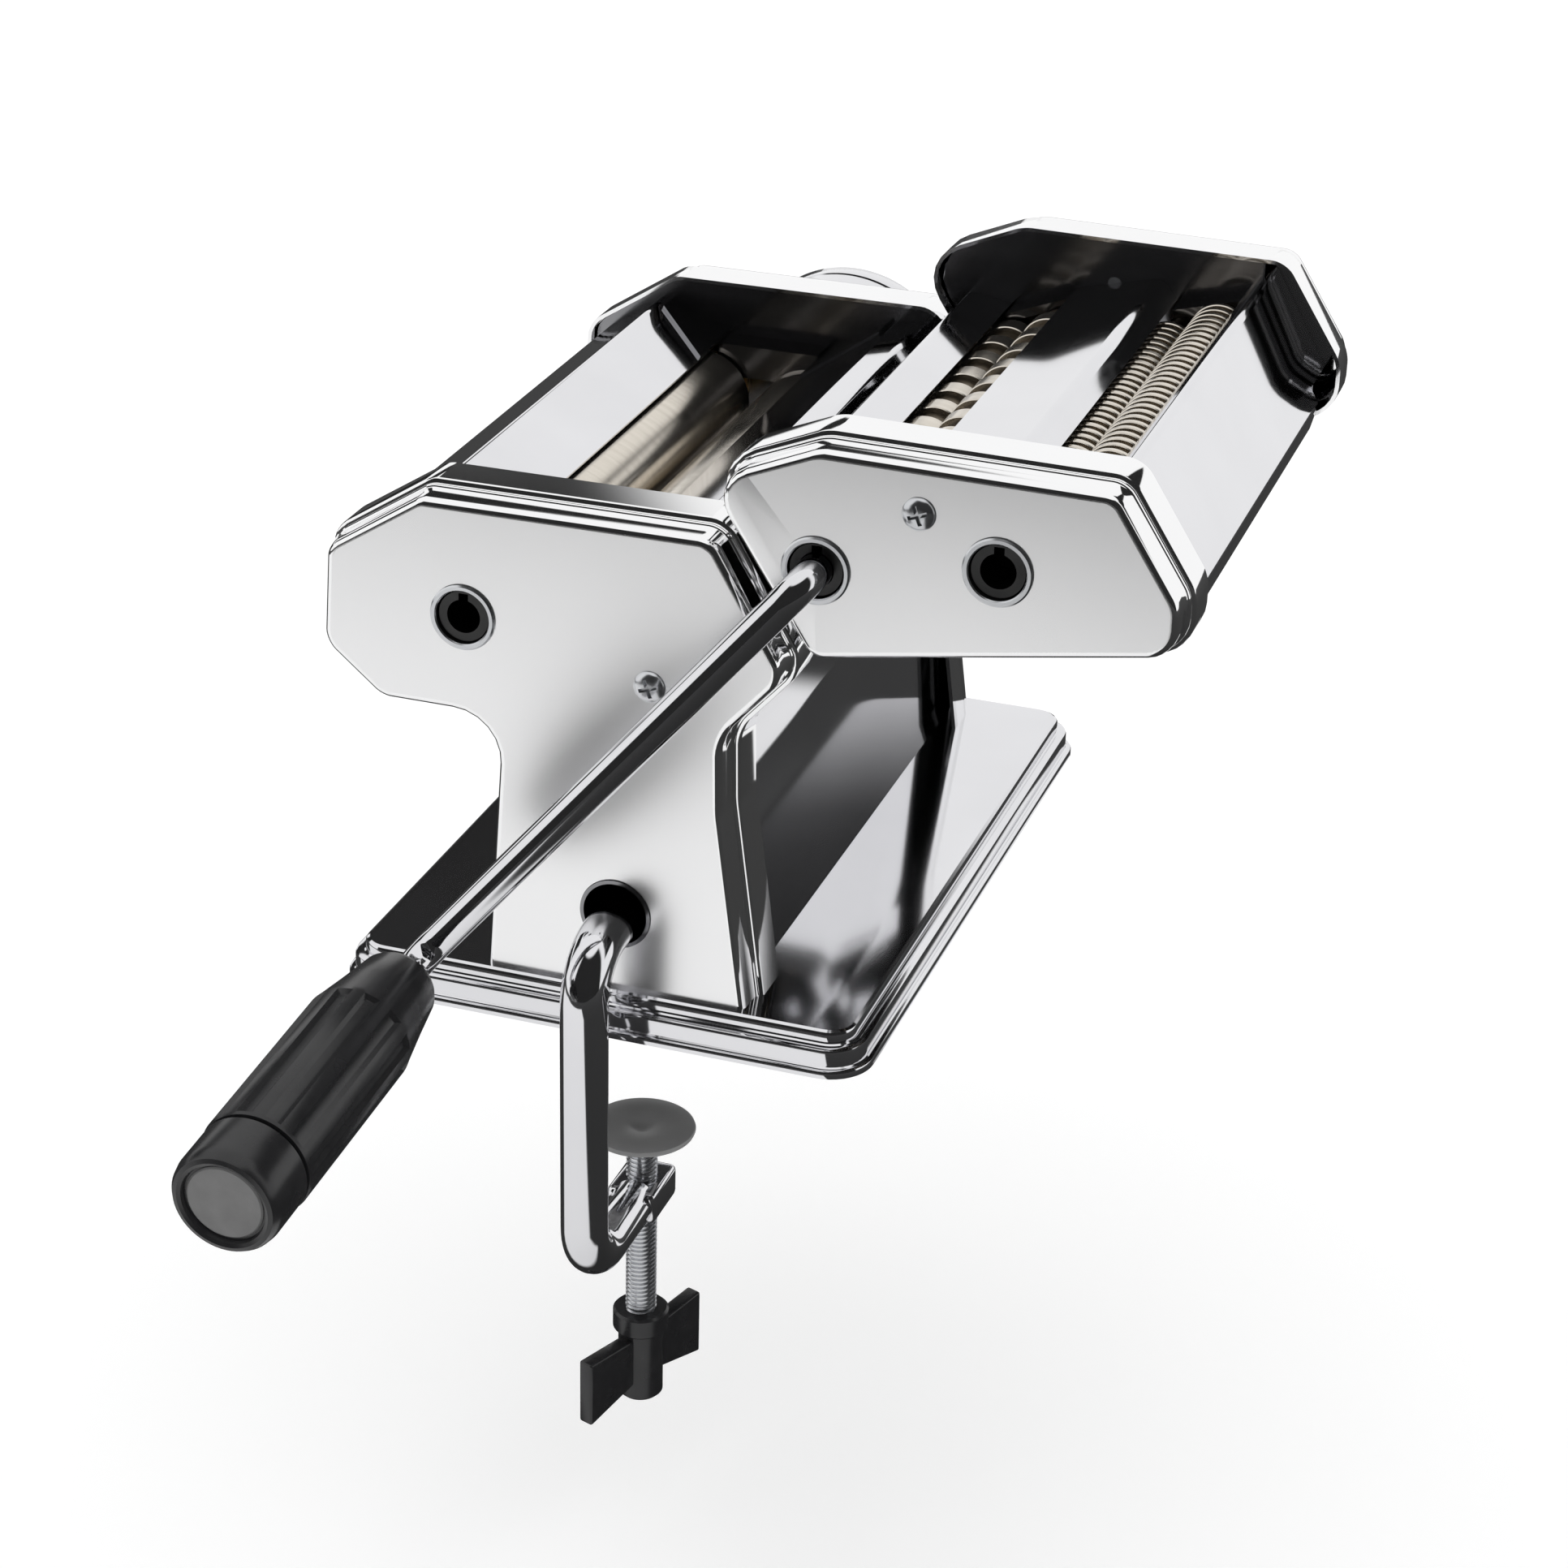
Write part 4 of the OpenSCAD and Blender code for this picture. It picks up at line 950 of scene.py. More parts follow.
@dataclass(frozen=True)
class Panels(Assembly):
    """The folded panels, and the far frame plates where a panel passes them.

    Each path is a panel's outer face in X and Z, with the sheet on the path's left.

    Args:
        wall: thickness of a panel.
        rim_gap: gap to a cover's rim.
        face_gap: gap to the inside of a cover's face.
        fold_steps: segments in a fold.
        main_outside: area of the main body's far plate that goes, in X and Z.
        cutter_outside: the same of the cutter head's.
        plate_margin: how far the tools that trim a plate stand out of it.
    """

    wall: float = 0.8
    rim_gap: float = 0.3
    face_gap: float = 0.2
    fold_steps: int = 8
    hopper_left: Outline = outline(
        (-31.7, 116.5), (-50.5, 124.5, 2.0), (-68.0, 112.6, 3.0), (-68.7, 90.8, 4.0),
        (-55.9, 80.4, 2.0), (-52.6, 80.4),
    )
    hopper_right: Outline = outline(
        (28.0, 83.9), (41.9, 99.4, 4.0), (22.5, 126.3, 2.0), (15.3, 125.4, 2.0), (-3.3, 115.0)
    )
    neck_right: Outline = outline((34.0, 1.0), (27.8, 62.1, 22.4), (27.5, 81.9, 11.2), (28.0, 83.8))
    neck_left: Outline = outline((-14.0, 84.0), (-24.5, 66.0, 5.6), (-28.1, 1.0))
    cutter_left: Outline = outline((47.05, 135.2), (33.0, 137.6, 2.0), (50.8, 107.4))
    cutter_middle: Outline = outline((91.0, 142.0), (86.8, 147.1, 3.2), (64.4, 141.8))
    cutter_right: Outline = outline(
        (129.0, 113.2), (130.7, 120.0, 2.1), (113.3, 149.9, 1.9), (109.4, 146.9)
    )
    cutter_inside: Outline = outline((128.3, 124.1), (113.3, 149.9, 1.9), (109.4, 146.9))
    main_outside: Profile = ((33.7, -5.0), (27.3, 62.1), (27.1, 82.6), (60.0, 82.6), (60.0, -5.0))
    cutter_outside: Profile = (
        (128.1, 124.1), (112.8, 150.0), (112.8, 175.0), (150.0, 175.0), (150.0, 95.0),
        (128.1, 95.0),
    )
    plate_margin: float = 1.0

    def pieces(self) -> list[Piece]:
        """Lists the panels and the plates."""
        whole = (-self.frame_in, self.frame_in)
        short = self.rim_y - self.rim_gap
        deep = self.face_y - self.cover_wall - self.face_gap
        right = (
            (self.cutter_right, -short, short),
            (self.cutter_inside, short, deep),
            (self.cutter_inside, -self.frame_in, -short),
        )
        root, cutter = Body.ROOT, Body.CUTTER
        return [
            self._panel("hopper_left_panel", root, (self.hopper_left, *whole)),
            self._panel("hopper_right_panel", root, (self.hopper_right, *whole)),
            self._panel("neck_right_panel", root, (self.neck_right, whole[0], deep), foot=True),
            self._panel("neck_left_panel", root, (self.neck_left, *whole), foot=True),
            self._panel("cutter_left_panel", cutter, (self.cutter_left, *whole)),
            self._panel("cutter_middle_panel", cutter, (self.cutter_middle, *whole)),
            self._panel("cutter_right_panel", cutter, *right),
            self._plate("dial_side_frame", root, self.main_outside),
            self._plate("cutter_far_side_frame", cutter, self.cutter_outside),
        ]

    def _panel(
        self, name: str, body: Body, *runs: tuple[Outline, float, float], foot: bool = False
    ) -> Piece:
        """Makes one panel.

        Args:
            name: its name, and that of the CAD node it stands for.
            body: body it rides.
            runs: for each length of it, its path, and where it starts and ends along Y.
            foot: whether it is cut off at the base.

        Returns:
            The piece.
        """

        def fold(bm: BMesh) -> None:
            """Folds each length and thickens it."""
            for run in runs:
                skin = self._skin(bm, *run, foot)
                bmesh.ops.solidify(bm, geom=skin, thickness=self.wall)

        return Piece(name, body, Slot.CHROME, [name], fold)

    def _skin(
        self, bm: BMesh, path: Outline, start: float, end: float, foot: bool
    ) -> list[BMFace]:
        """Draws a path out and rounds its folds.

        Args:
            bm: mesh to add to.
            path: the outer face in X and Z.
            start: where it starts along Y.
            end: where it ends.
            foot: whether it is cut off at the base.

        Returns:
            The faces of the outer skin, facing outwards.
        """
        old = set(bm.faces)
        verts = [bm.verts.new((c.a, start, c.b)) for c in path]
        edges = [bm.edges.new(pair) for pair in zip(verts, verts[1:])]
        moved = only_verts(bmesh.ops.extrude_edge_only(bm, edges=edges)["geom"])
        bmesh.ops.translate(bm, vec=(0, end - start, 0), verts=moved)
        folds = [next(e for e in v.link_edges if len(e.link_faces) == 2) for v in verts[1:-1]]
        for i, fold in enumerate(folds, 1):
            round_off(bm, [fold], rounding(path, i), self.fold_steps)
        if foot:
            cut_below(bm, [f for f in bm.faces if f not in old], self.base_h)
        faces = [f for f in bm.faces if f not in old]
        bmesh.ops.recalc_face_normals(bm, faces=faces)
        way = (path[1].spot - path[0].spot).normalized()
        middle = (path[1].spot + path[0].spot) / 2

        def away(face: BMFace) -> float:
            """Gives how far a face lies from the first flat of the path."""
            return (face.calc_center_median().xz - middle).length

        if min(faces, key=away).normal.xz.dot(Vector((way.y, -way.x))) < 0:
            bmesh.ops.reverse_faces(bm, faces=faces)
        return faces

    def _plate(self, node: str, body: Body, outside: Profile) -> Piece:
        """Makes one far frame plate without what would stand outside a panel.

        Args:
            node: CAD node of the plate.
            body: body it rides.
            outside: corners, in X and Z, of the area that goes.

        Returns:
            The piece.
        """
        start, end = self.frame_in - self.plate_margin, self.frame_out + self.plate_margin

        def trim(bm: BMesh) -> None:
            """Fills what is taken off."""
            prism(bm, [(x, start, z) for x, z in outside], Vector((0, end - start, 0)))

        return Piece(f"{node}_trimmed", body, Slot.FRAME, [node], None, cutters=[trim])


@dataclass(frozen=True)
class Rollers(Assembly):
    """The smooth rollers, and the cutter rollers with their lands.

    Args:
        half: half the length of every roller.
        gear_out: Y of the outside of the gears.
        smooth_r: radius of the smooth rollers.
        chamfer: bevel of their ends.
        journal_r: radius of their journals.
        journal_over: how far the drive roller's journal stands out of the frame.
        cutter_journal_r: radius of the cutter rollers' journals.
        root_r: radius between the lands.
        land_r: radius of the lands.
        land_edge: bevel of a land.
        land_sunk: how far a land reaches into the roller.
        land_play: how much narrower than a quarter of the pitch half a land is.
        wide: distance between the wide lands.
        narrow: distance between the narrow lands.
    """

    half: float = 68.5
    gear_out: float = 89.6
    smooth_r: float = 13.0
    chamfer: float = 0.8
    journal_r: float = 5.0
    journal_over: float = 1.0
    cutter_journal_r: float = 4.0
    root_r: float = 6.05
    land_r: float = 7.5
    land_edge: float = 0.25
    land_sunk: float = 0.4
    land_play: float = 0.12
    wide: float = 13.0
    narrow: float = 4.0
    smooth_steps: int = 96
    cutter_steps: int = 48

    def pieces(self) -> list[Piece]:
        """Lists the rollers."""
        drive = self._smooth(self.frame_out, self.frame_out + self.journal_over)
        driven = self._smooth(self.gear_out, self.frame_out)
        listed = [
            self._turned("drive_roller", Body.DRIVE, [(DRIVE.place, drive)]),
            self._turned("adjustable_roller", Body.ADJUST, [(ADJUST.place, driven)]),
        ]
        for name, body, axis, pitch, phase in (
            ("wide_drive_roller", Body.WIDE_DRIVE, WIDE, self.wide, 0.0),
            ("wide_driven_roller", Body.WIDE_DRIVEN, WIDE_DRIVEN, self.wide, 0.5),
            ("narrow_drive_roller", Body.NARROW_DRIVE, NARROW, self.narrow, 0.0),
            ("narrow_driven_roller", Body.NARROW_DRIVEN, NARROW_DRIVEN, self.narrow, 0.5),
        ):
            lands = [(axis.place, land) for land in self._lands(pitch, phase)]
            core, rings = (
                turned(turns, self.cutter_steps) for turns in ([(axis.place, self._core())], lands)
            )
            # The core takes the dark brown of the painted shade in the grooves; the lands keep the
            # nickel finish.
            listed.append(Piece(name, body, Slot.ROLLER, [name], core, GROOVE_PAINTED_SHADE))
            listed.append(Piece(f"{name}_lands", body, Slot.ROLLER, [], rings))
        return listed

    def _turned(self, name: str, body: Body, turns: list[tuple[Matrix, Profile]]) -> Piece:
        """Makes a smooth roller."""
        return Piece(name, body, Slot.ROLLER, [name], turned(turns, self.smooth_steps))

    def _smooth(self, near: float, far: float) -> Profile:
        """Gives the profile of a smooth roller.

        Args:
            near: how far its journal reaches on the crank side.
            far: how far it reaches on the far side.

        Returns:
            Pairs of radius and Y.
        """
        half, full, journal = self.half, self.smooth_r, self.journal_r
        end = full - self.chamfer
        return [
            (0, -near),
            (journal, -near),
            (journal, -half),
            (end, -half),
            (full, -half + self.chamfer),
            (full, half - self.chamfer),
            (end, half),
            (journal, half),
            (journal, far),
            (0, far),
        ]

    def _core(self) -> Profile:
        """Gives the profile of a cutter roller without its lands.

        Returns:
            Pairs of radius and Y.
        """
        journal, half, near, far = self.cutter_journal_r, self.half, self.frame_out, self.gear_out
        return [
            (0, -near),
            (journal, -near),
            (journal, -half),
            (self.root_r, -half),
            (self.root_r, half),
            (journal, half),
            (journal, far),
            (0, far),
        ]

    def _lands(self, pitch: float, phase: float) -> list[Profile]:
        """Gives the closed sections of the lands on a cutter roller.

        Args:
            pitch: distance between two lands.
            phase: share of a pitch that the lands are moved.

        Returns:
            For each land, pairs of radius and Y.
        """
        land, edge = pitch / 4 - self.land_play, self.land_edge
        low, shoulder = self.root_r - self.land_sunk, self.land_r - edge
        section = (
            (low, -land),
            (shoulder, -land),
            (self.land_r, edge - land),
            (self.land_r, land - edge),
            (shoulder, land),
            (low, land),
            (low, -land),
        )
        most = math.ceil(self.half / pitch)
        middles = [(k + phase) * pitch for k in range(-most, most + 1)]
        return [shifted(section, y) for y in middles if abs(y) + pitch / 4 < self.half]


@dataclass(frozen=True)
class Fittings(Assembly):
    """The socket rings and the cross-head screws of the covers.

    Args:
        ring: closed section of a ring, as pairs of radius and how far outside the cover.
        dome: profile of a screw's head, the same way.
        shank_r: radius of a screw's shank.
        arm: half the length of the cross in a head.
        arm_half: half the width of its arms.
        arm_turn: degrees that it is turned.
        cross: how far outside the cover the cross starts and its tool ends.
        main_screws: axis and side of the main body's screws.
        cutter_screws: the same of the cutter head's.
    """

    ring: Profile = (
        (6.6, -2.0), (6.6, 0.5), (6.9, 0.8), (7.7, 0.8), (8.1, 0.45), (8.1, 0.0), (7.3, 0.0),
        (7.3, -2.0), (6.6, -2.0),
    )
    dome: Profile = (
        (0, 1.65), (1.5, 1.6), (2.7, 1.35), (3.5, 0.85), (3.9, 0.3), (3.95, 0), (1.8, 0),
    )
    shank_r: float = 1.8
    screw_steps: int = 40
    arm: float = 2.3
    arm_half: float = 0.48
    arm_turn: float = 20.0
    cross: tuple[float, float] = (0.6, 3.0)
    main_screws: Sequence[tuple[Axis, Side]] = (
        (Axis(11.7, 91.9), Side.CRANK),
        (Axis(-52.6, 110.8), Side.FAR),
    )
    cutter_screws: Sequence[tuple[Axis, Side]] = (
        (Axis(74.2, 143.9), Side.CRANK),
        (Axis(74.2, 143.9), Side.FAR),
    )

    def pieces(self) -> list[Piece]:
        """Lists the rings and the screws."""
        return [
            self._rings("main_socket_ring", Body.ROOT, [DRIVE]),
            self._rings("cutter_socket_rings", Body.CUTTER, [WIDE, NARROW]),
            self._screws("cover_screws", Body.ROOT, "cover_screws", self.main_screws),
            self._screws("cutter_screws", Body.CUTTER, "cutter_cover_screws", self.cutter_screws),
        ]

    def _rings(self, name: str, body: Body, axes: Sequence[Axis]) -> Piece:
        """Makes the socket rings on some axes."""
        ring = [(radius, -self.face_y - rise) for radius, rise in self.ring]
        return Piece(name, body, Slot.ZINC, [name], turned([(a.place, ring) for a in axes]))

    def _screws(
        self, name: str, body: Body, node: str, places: Sequence[tuple[Axis, Side]]
    ) -> Piece:
        """Makes the screws at some places.

        Args:
            name: name of the piece.
            body: body it rides.
            node: CAD node it stands for.
            places: axis and side of each screw.

        Returns:
            The piece.
        """
        shank = ((self.shank_r, self.frame_in), (0, self.frame_in))
        profile = (*shifted(self.dome, self.face_y), *shank)
        heads = [(axis.place, [(r, side * y) for r, y in profile]) for axis, side in places]
        shape, crosses = turned(heads, self.screw_steps), partial(self._crosses, places=places)
        return Piece(name, body, Slot.ZINC, [node], shape, cutters=[crosses])

    def _crosses(self, bm: BMesh, places: Sequence[tuple[Axis, Side]]) -> None:
        """Adds the cross that is cut into each head.

        Args:
            bm: mesh to add to.
            places: axis and side of each screw.
        """
        long, short = self.arm, self.arm_half
        outline_points = []
        for quarter in range(4):
            turn = math.radians(self.arm_turn + 90 * quarter)
            c, s = math.cos(turn), math.sin(turn)
            arm = ((short, long), (-short, long), (-short, short))
            outline_points += [(a * c - b * s, a * s + b * c) for a, b in arm]
        for axis, side in places:
            low, high = (side * (self.face_y + rise) for rise in self.cross)
            points = [(axis.x + a, low, axis.z + b) for a, b in outline_points]
            prism(bm, points, Vector((0, high - low, 0)))


@dataclass(frozen=True)
class Crank(Assembly):
    """The crank's bent rod with its key and dent, and the grooved grip on its end.

    Args:
        inner_y: Y of the rod's inner end.
        upper_y: Y of its upper bend.
        lower: its lower bend.
        droop: degrees that its outer length hangs down.
        outer: its length after the lower bend.
        bend_r: radius of the centre line in the bends.
        rod_r: radius of the rod.
        key_at: middle of the key, from the rod's inner end.
        dent_at: middle of the dent beside the lower bend.
        dent_turns: degrees that the punch is turned round Y and round X.
        grip_from: from the lower bend to the grip.
        handle: radius and length from one end of the grip to the other.
        grooved: which step of the handle has the grooves.
        grooves: number of grooves.
        groove_pitch: faces from one groove to the next.
        groove_width: faces across one groove.
        groove_deep: depth of a groove, and the width of its sloped sides.
        cap: profile of the ring at the grip's end.
        disc: profile of the disc in it.
    """

    inner_y: float = -82.9
    upper_y: float = -103.0
    lower: Triple = (-30.6, -131.0, 31.3)
    droop: float = 4.0
    outer: float = 86.5
    bend_r: float = 9.0
    rod_r: float = 3.97
    key_at: Triple = (0, -3.0, 4.2)
    key_size: Triple = (2.0, 6.0, 2.4)
    key_bevel: float = 0.2
    dent_at: Triple = (-27.6, -134.6, 35.4)
    dent_size: Triple = (1.6, 3.0, 4.4)
    dent_bevel: float = 0.3
    dent_turns: tuple[float, float] = (-38.0, 24.0)
    grip_from: float = 12.0
    handle: Profile = (
        (7.2, 0), (8.8, 0.5), (9.5, 2.0), (11.0, 12.0), (12.6, 21.5), (13.0, 23.5), (13.0, 73.6),
        (12.7, 74.4),
    )
    grooved: int = 5
    grooves: int = 12
    groove_pitch: int = 7
    groove_width: int = 4
    groove_deep: float = 0.9
    cap: Profile = (
        (0, 75.2), (12.3, 75.2), (12.7, 75.6), (12.7, 86.5), (12.3, 88.6), (11.6, 89.7),
        (10.6, 90.0), (9.8, 89.6), (9.4, 88.4), (0, 88.4),
    )
    disc: Profile = ((0, 88.0), (8.9, 88.0), (8.9, 88.6), (8.5, 88.9), (0, 88.9))

    @property
    def _inner(self) -> Vector:
        """The rod's inner end, in the wide cutter's socket."""
        return Vector((WIDE.x, self.inner_y, WIDE.z))

    @property
    def _way(self) -> Vector:
        """The direction of the rod after its lower bend."""
        droop = math.radians(self.droop)
        return Vector((0, -math.cos(droop), -math.sin(droop)))

    @property
    def _grip(self) -> Matrix:
        """The place of the grip."""
        return along_line(Vector(self.lower) + self._way * self.grip_from, self._way)

    def pieces(self) -> list[Piece]:
        """Lists the rod, the key and the pieces of the grip."""
        crank, grip = Body.CRANK, Body.GRIP
        cap, disc = (turned([(self._grip, profile)]) for profile in (self.cap, self.disc))
        return [
            Piece("crank_rod", crank, Slot.CHROME, ["crank_arm"], self._rod, None, [self._dent]),
            Piece("crank_key", crank, Slot.CHROME, [], self._key),
            Piece("crank_handle", grip, Slot.PLASTIC, ["crank_grip"], self._handle),
            Piece("handle_cap", grip, Slot.PLASTIC, ["grip_end_cap"], cap),
            Piece("handle_disc", grip, Slot.PLASTIC, [], disc, GREY_DISC),
        ]

    def _rod(self, bm: BMesh) -> None:
        """Adds the bent rod."""
        lower, upper = Vector(self.lower), Vector((WIDE.x, self.upper_y, WIDE.z))
        points = [self._inner, upper, lower, lower + self._way * self.outer]
        bent_rod(bm, points, self.bend_r, self.rod_r)

    def _key(self, bm: BMesh) -> None:
        """Adds the key at the rod's inner end."""
        place = Matrix.Translation(self._inner + Vector(self.key_at))
        block(bm, place, self.key_size, self.key_bevel)

    def _dent(self, bm: BMesh) -> None:
        """Adds what a punch takes out of the rod beside its lower bend."""
        about_y, about_x = (math.radians(turn) for turn in self.dent_turns)
        turn = Matrix.Rotation(about_y, 4, "Y") @ Matrix.Rotation(about_x, 4, "X")
        place = Matrix.Translation(self.dent_at) @ turn
        block(bm, place, self.dent_size, self.dent_bevel)

    def _handle(self, bm: BMesh) -> None:
        """Draws the handle out of a circle and sinks its grooves.

        Args:
            bm: empty mesh to fill.
        """
        place = self._grip
        radius, length = self.handle[0]
        circle = bmesh.ops.create_circle(
            bm,
            cap_ends=True,
            radius=radius,
            segments=self.grooves * self.groove_pitch,
            matrix=place @ Matrix.Translation((0, 0, length)),
        )
        edges = [e for e in edges_at(circle["verts"]) if len(e.link_faces) == 1]
        bands = []
        for (r0, z0), (r1, z1) in zip(self.handle, self.handle[1:]):
            before = set(bm.faces)
            move = place.to_3x3() @ Vector((0, 0, z1 - z0))
            verts, edges = draw_ring(bm, edges, move)
            bands.append([f for f in bm.faces if f not in before])
            space = (place @ Matrix.Translation((0, 0, z1))).inverted()
            bmesh.ops.scale(bm, vec=(r1 / r0, r1 / r0, 1), space=space, verts=verts)
        bmesh.ops.contextual_create(bm, geom=edges)
        bmesh.ops.recalc_face_normals(bm, faces=bm.faces)
        self._sink(bm, bands[self.grooved])

    def _sink(self, bm: BMesh, band: Sequence[BMFace]) -> None:
        """Sinks the grooves into a band of faces.

        Args:
            bm: the mesh.
            band: the faces round the grooved length.
        """
        back = self._grip.inverted()
        column = math.tau / (self.grooves * self.groove_pitch)
        chosen: dict[int, list[BMFace]] = {}
        for face in band:
            middle = back @ face.calc_center_median()
            index = int(math.atan2(middle.y, middle.x) % math.tau / column)
            if index % self.groove_pitch < self.groove_width:
                chosen.setdefault(index // self.groove_pitch, []).append(face)
        for faces in chosen.values():
            bmesh.ops.inset_region(
                bm,
                faces=faces,
                thickness=self.groove_deep,
                depth=-self.groove_deep,
                use_even_offset=True,
            )


@dataclass(frozen=True)
class Clamp(Assembly):
    """The clamp's bar with its eye, the pad, the threaded screw and the wing knob.

    Args:
        inner_y: Y of the bar's end in the machine.
        leg_y: Y of its upright length.
        outer_y: Y of its end at the eye.
        screw_y: Y of the screw.
        top_z: height of the bar's upper length.
        arm_z: height of its lower length.
        bore_half: half the length of the tool that cuts the eye's bore.
        pad_top: height of the pad's top, where its profile starts.
        screw_low: height of the screw's lower end.
        core_r: radius of the screw's core.
        crest_r: radius of its thread.
        ridge_sunk: how far the thread's ridge reaches into the core.
        ridge_foot: half the ridge's width at its foot, as a share of the pitch.
        ridge_top: the same at its crest.
        bare_turns: turns of the core's length without thread.
        knob_low: height of the knob's lower end, where its profiles start.
        wing: outline of a wing, as pairs of how far out and how high.
        wing_half: half its thickness.
        wing_turn: degrees that the knob is turned.
    """

    inner_y: float = -45.0
    leg_y: float = -115.0
    outer_y: float = -80.4
    screw_y: float = -76.0
    top_z: float = 29.3
    arm_z: float = -57.0
    bend_r: float = 13.0
    bar_r: float = 5.77
    eye_size: Triple = (12.9, 16.9, 8.9)
    eye_bevel: float = 1.6
    bore_r: float = 4.12
    bore_half: float = 8.0
    bore_steps: int = 40
    pad_top: float = -37.7
    pad_steps: int = 72
    pad: Profile = (
        (0, -0.9), (2.2, -0.8), (3.4, -0.1), (12.6, 0), (13.3, -0.3), (13.5, -0.9), (13.2, -1.6),
        (7.6, -1.6), (6.9, -2.4), (6.6, -4.6), (4.1, -4.6), (4.1, -1.6), (0, -1.6),
    )
    screw_low: float = -101.9
    screw_length: float = 62.4
    screw_chamfer: float = 0.5
    core_r: float = 3.45
    crest_r: float = 3.98
    thread_pitch: float = 1.25
    ridge_sunk: float = 0.3
    ridge_foot: float = 0.45
    ridge_top: float = 0.06
    bare_turns: int = 2
    thread_steps: int = 28
    knob_low: float = -118.0
    hub_steps: int = 48
    hub: Profile = (
        (0, 0), (5.0, 0), (5.8, 0.8), (5.8, 19.6), (6.6, 20.0), (7.2, 20.6), (7.2, 25.3),
        (6.6, 25.9), (4.1, 25.9), (4.1, 16), (0, 16),
    )
    wing: Profile = ((4.2, 5.0), (21.9, 1.2), (21.9, 19.8), (4.2, 18.6))
    wing_half: float = 2.1
    wing_bevel: float = 0.7
    wing_turn: float = 71.0

    @property
    def _upright(self) -> Matrix:
        """The screw's axis."""
        return Matrix.Translation((CLAMP_SOCKET.x, self.screw_y, 0))

    def pieces(self) -> list[Piece]:
        """Lists the pieces of the clamp."""
        pad = turned([(self._upright, shifted(self.pad, self.pad_top))], self.pad_steps)
        ends = (self.arm_z - self.bore_half, self.arm_z + self.bore_half)
        bore = rod_between(self._upright, self.bore_r, *ends, self.bore_steps)
        return [
            Piece("clamp_rod", Body.ARM, Slot.CHROME, ["clamp_bar"], self._bar),
            Piece("clamp_eye", Body.ARM, Slot.CHROME, [], self._eye, None, [bore]),
            Piece("clamp_foot", Body.FOOT, Slot.ZINC, ["clamp_pad"], pad, PAD_ZINC),
            Piece("clamp_thread", Body.SCREW, Slot.ZINC, ["clamp_screw"], self._screw),
            Piece("clamp_knob", Body.SCREW, Slot.PLASTIC, ["clamp_wing_knob"], self._knob),
        ]

    def _bar(self, bm: BMesh) -> None:
        """Adds the bent bar."""
        route = ((self.inner_y, self.top_z), (self.leg_y, self.top_z))
        route += ((self.leg_y, self.arm_z), (self.outer_y, self.arm_z))
        points = [Vector((CLAMP_SOCKET.x, y, z)) for y, z in route]
        bent_rod(bm, points, self.bend_r, self.bar_r)

    def _eye(self, bm: BMesh) -> None:
        """Adds the flattened end of the bar."""
        place = self._upright @ Matrix.Translation((0, 0, self.arm_z))
        block(bm, place, self.eye_size, self.eye_bevel)

    def _screw(self, bm: BMesh) -> None:
        """Adds the screw's core and the helical ridge round it.

        Args:
            bm: mesh to add to.
        """
        place = self._upright @ Matrix.Translation((0, 0, self.screw_low))
        core, pitch, length = self.core_r, self.thread_pitch, self.screw_length
        end, root = core - self.screw_chamfer, core - self.ridge_sunk
        low, high = self.screw_chamfer, length - self.screw_chamfer
        lathe(bm, place, [(0, 0), (end, 0), (core, low), (core, high), (end, length), (0, length)])
        turns = int(length / pitch) - self.bare_turns
        wide, narrow = self.ridge_foot, self.ridge_top
        ridge = ((root, -wide), (self.crest_r, -narrow), (self.crest_r, narrow), (root, wide))
        verts = [bm.verts.new(place @ Vector((r, 0, (1 + share) * pitch))) for r, share in ridge]
        edges = [bm.edges.new((verts[k - 1], verts[k])) for k in range(len(verts))]
        last = bmesh.ops.spin(
            bm,
            geom=verts + edges,
            cent=place.translation,
            axis=place.to_3x3().col[2],
            dvec=place.to_3x3() @ Vector((0, 0, pitch / self.thread_steps)),
            angle=math.tau * turns,
            steps=self.thread_steps * turns,
        )["geom_last"]
        bmesh.ops.contextual_create(bm, geom=edges)
        bmesh.ops.contextual_create(bm, geom=[e for e in last if isinstance(e, BMEdge)])

    def _knob(self, bm: BMesh) -> None:
        """Adds the hub and the two flat wings.

        Args:
            bm: mesh to add to.
        """
        lathe(bm, self._upright, shifted(self.hub, self.knob_low), self.hub_steps)
        turn = self._upright @ Matrix.Rotation(math.radians(self.wing_turn), 4, "Z")
        across = turn.to_3x3() @ Vector((0, -2 * self.wing_half, 0))
        for side in (-1, 1):
            points = [
                turn @ Vector((side * out, self.wing_half, self.knob_low + up))
                for out, up in self.wing
            ]
            round_off(bm, edges_at(prism(bm, points, across)), self.wing_bevel, 3)


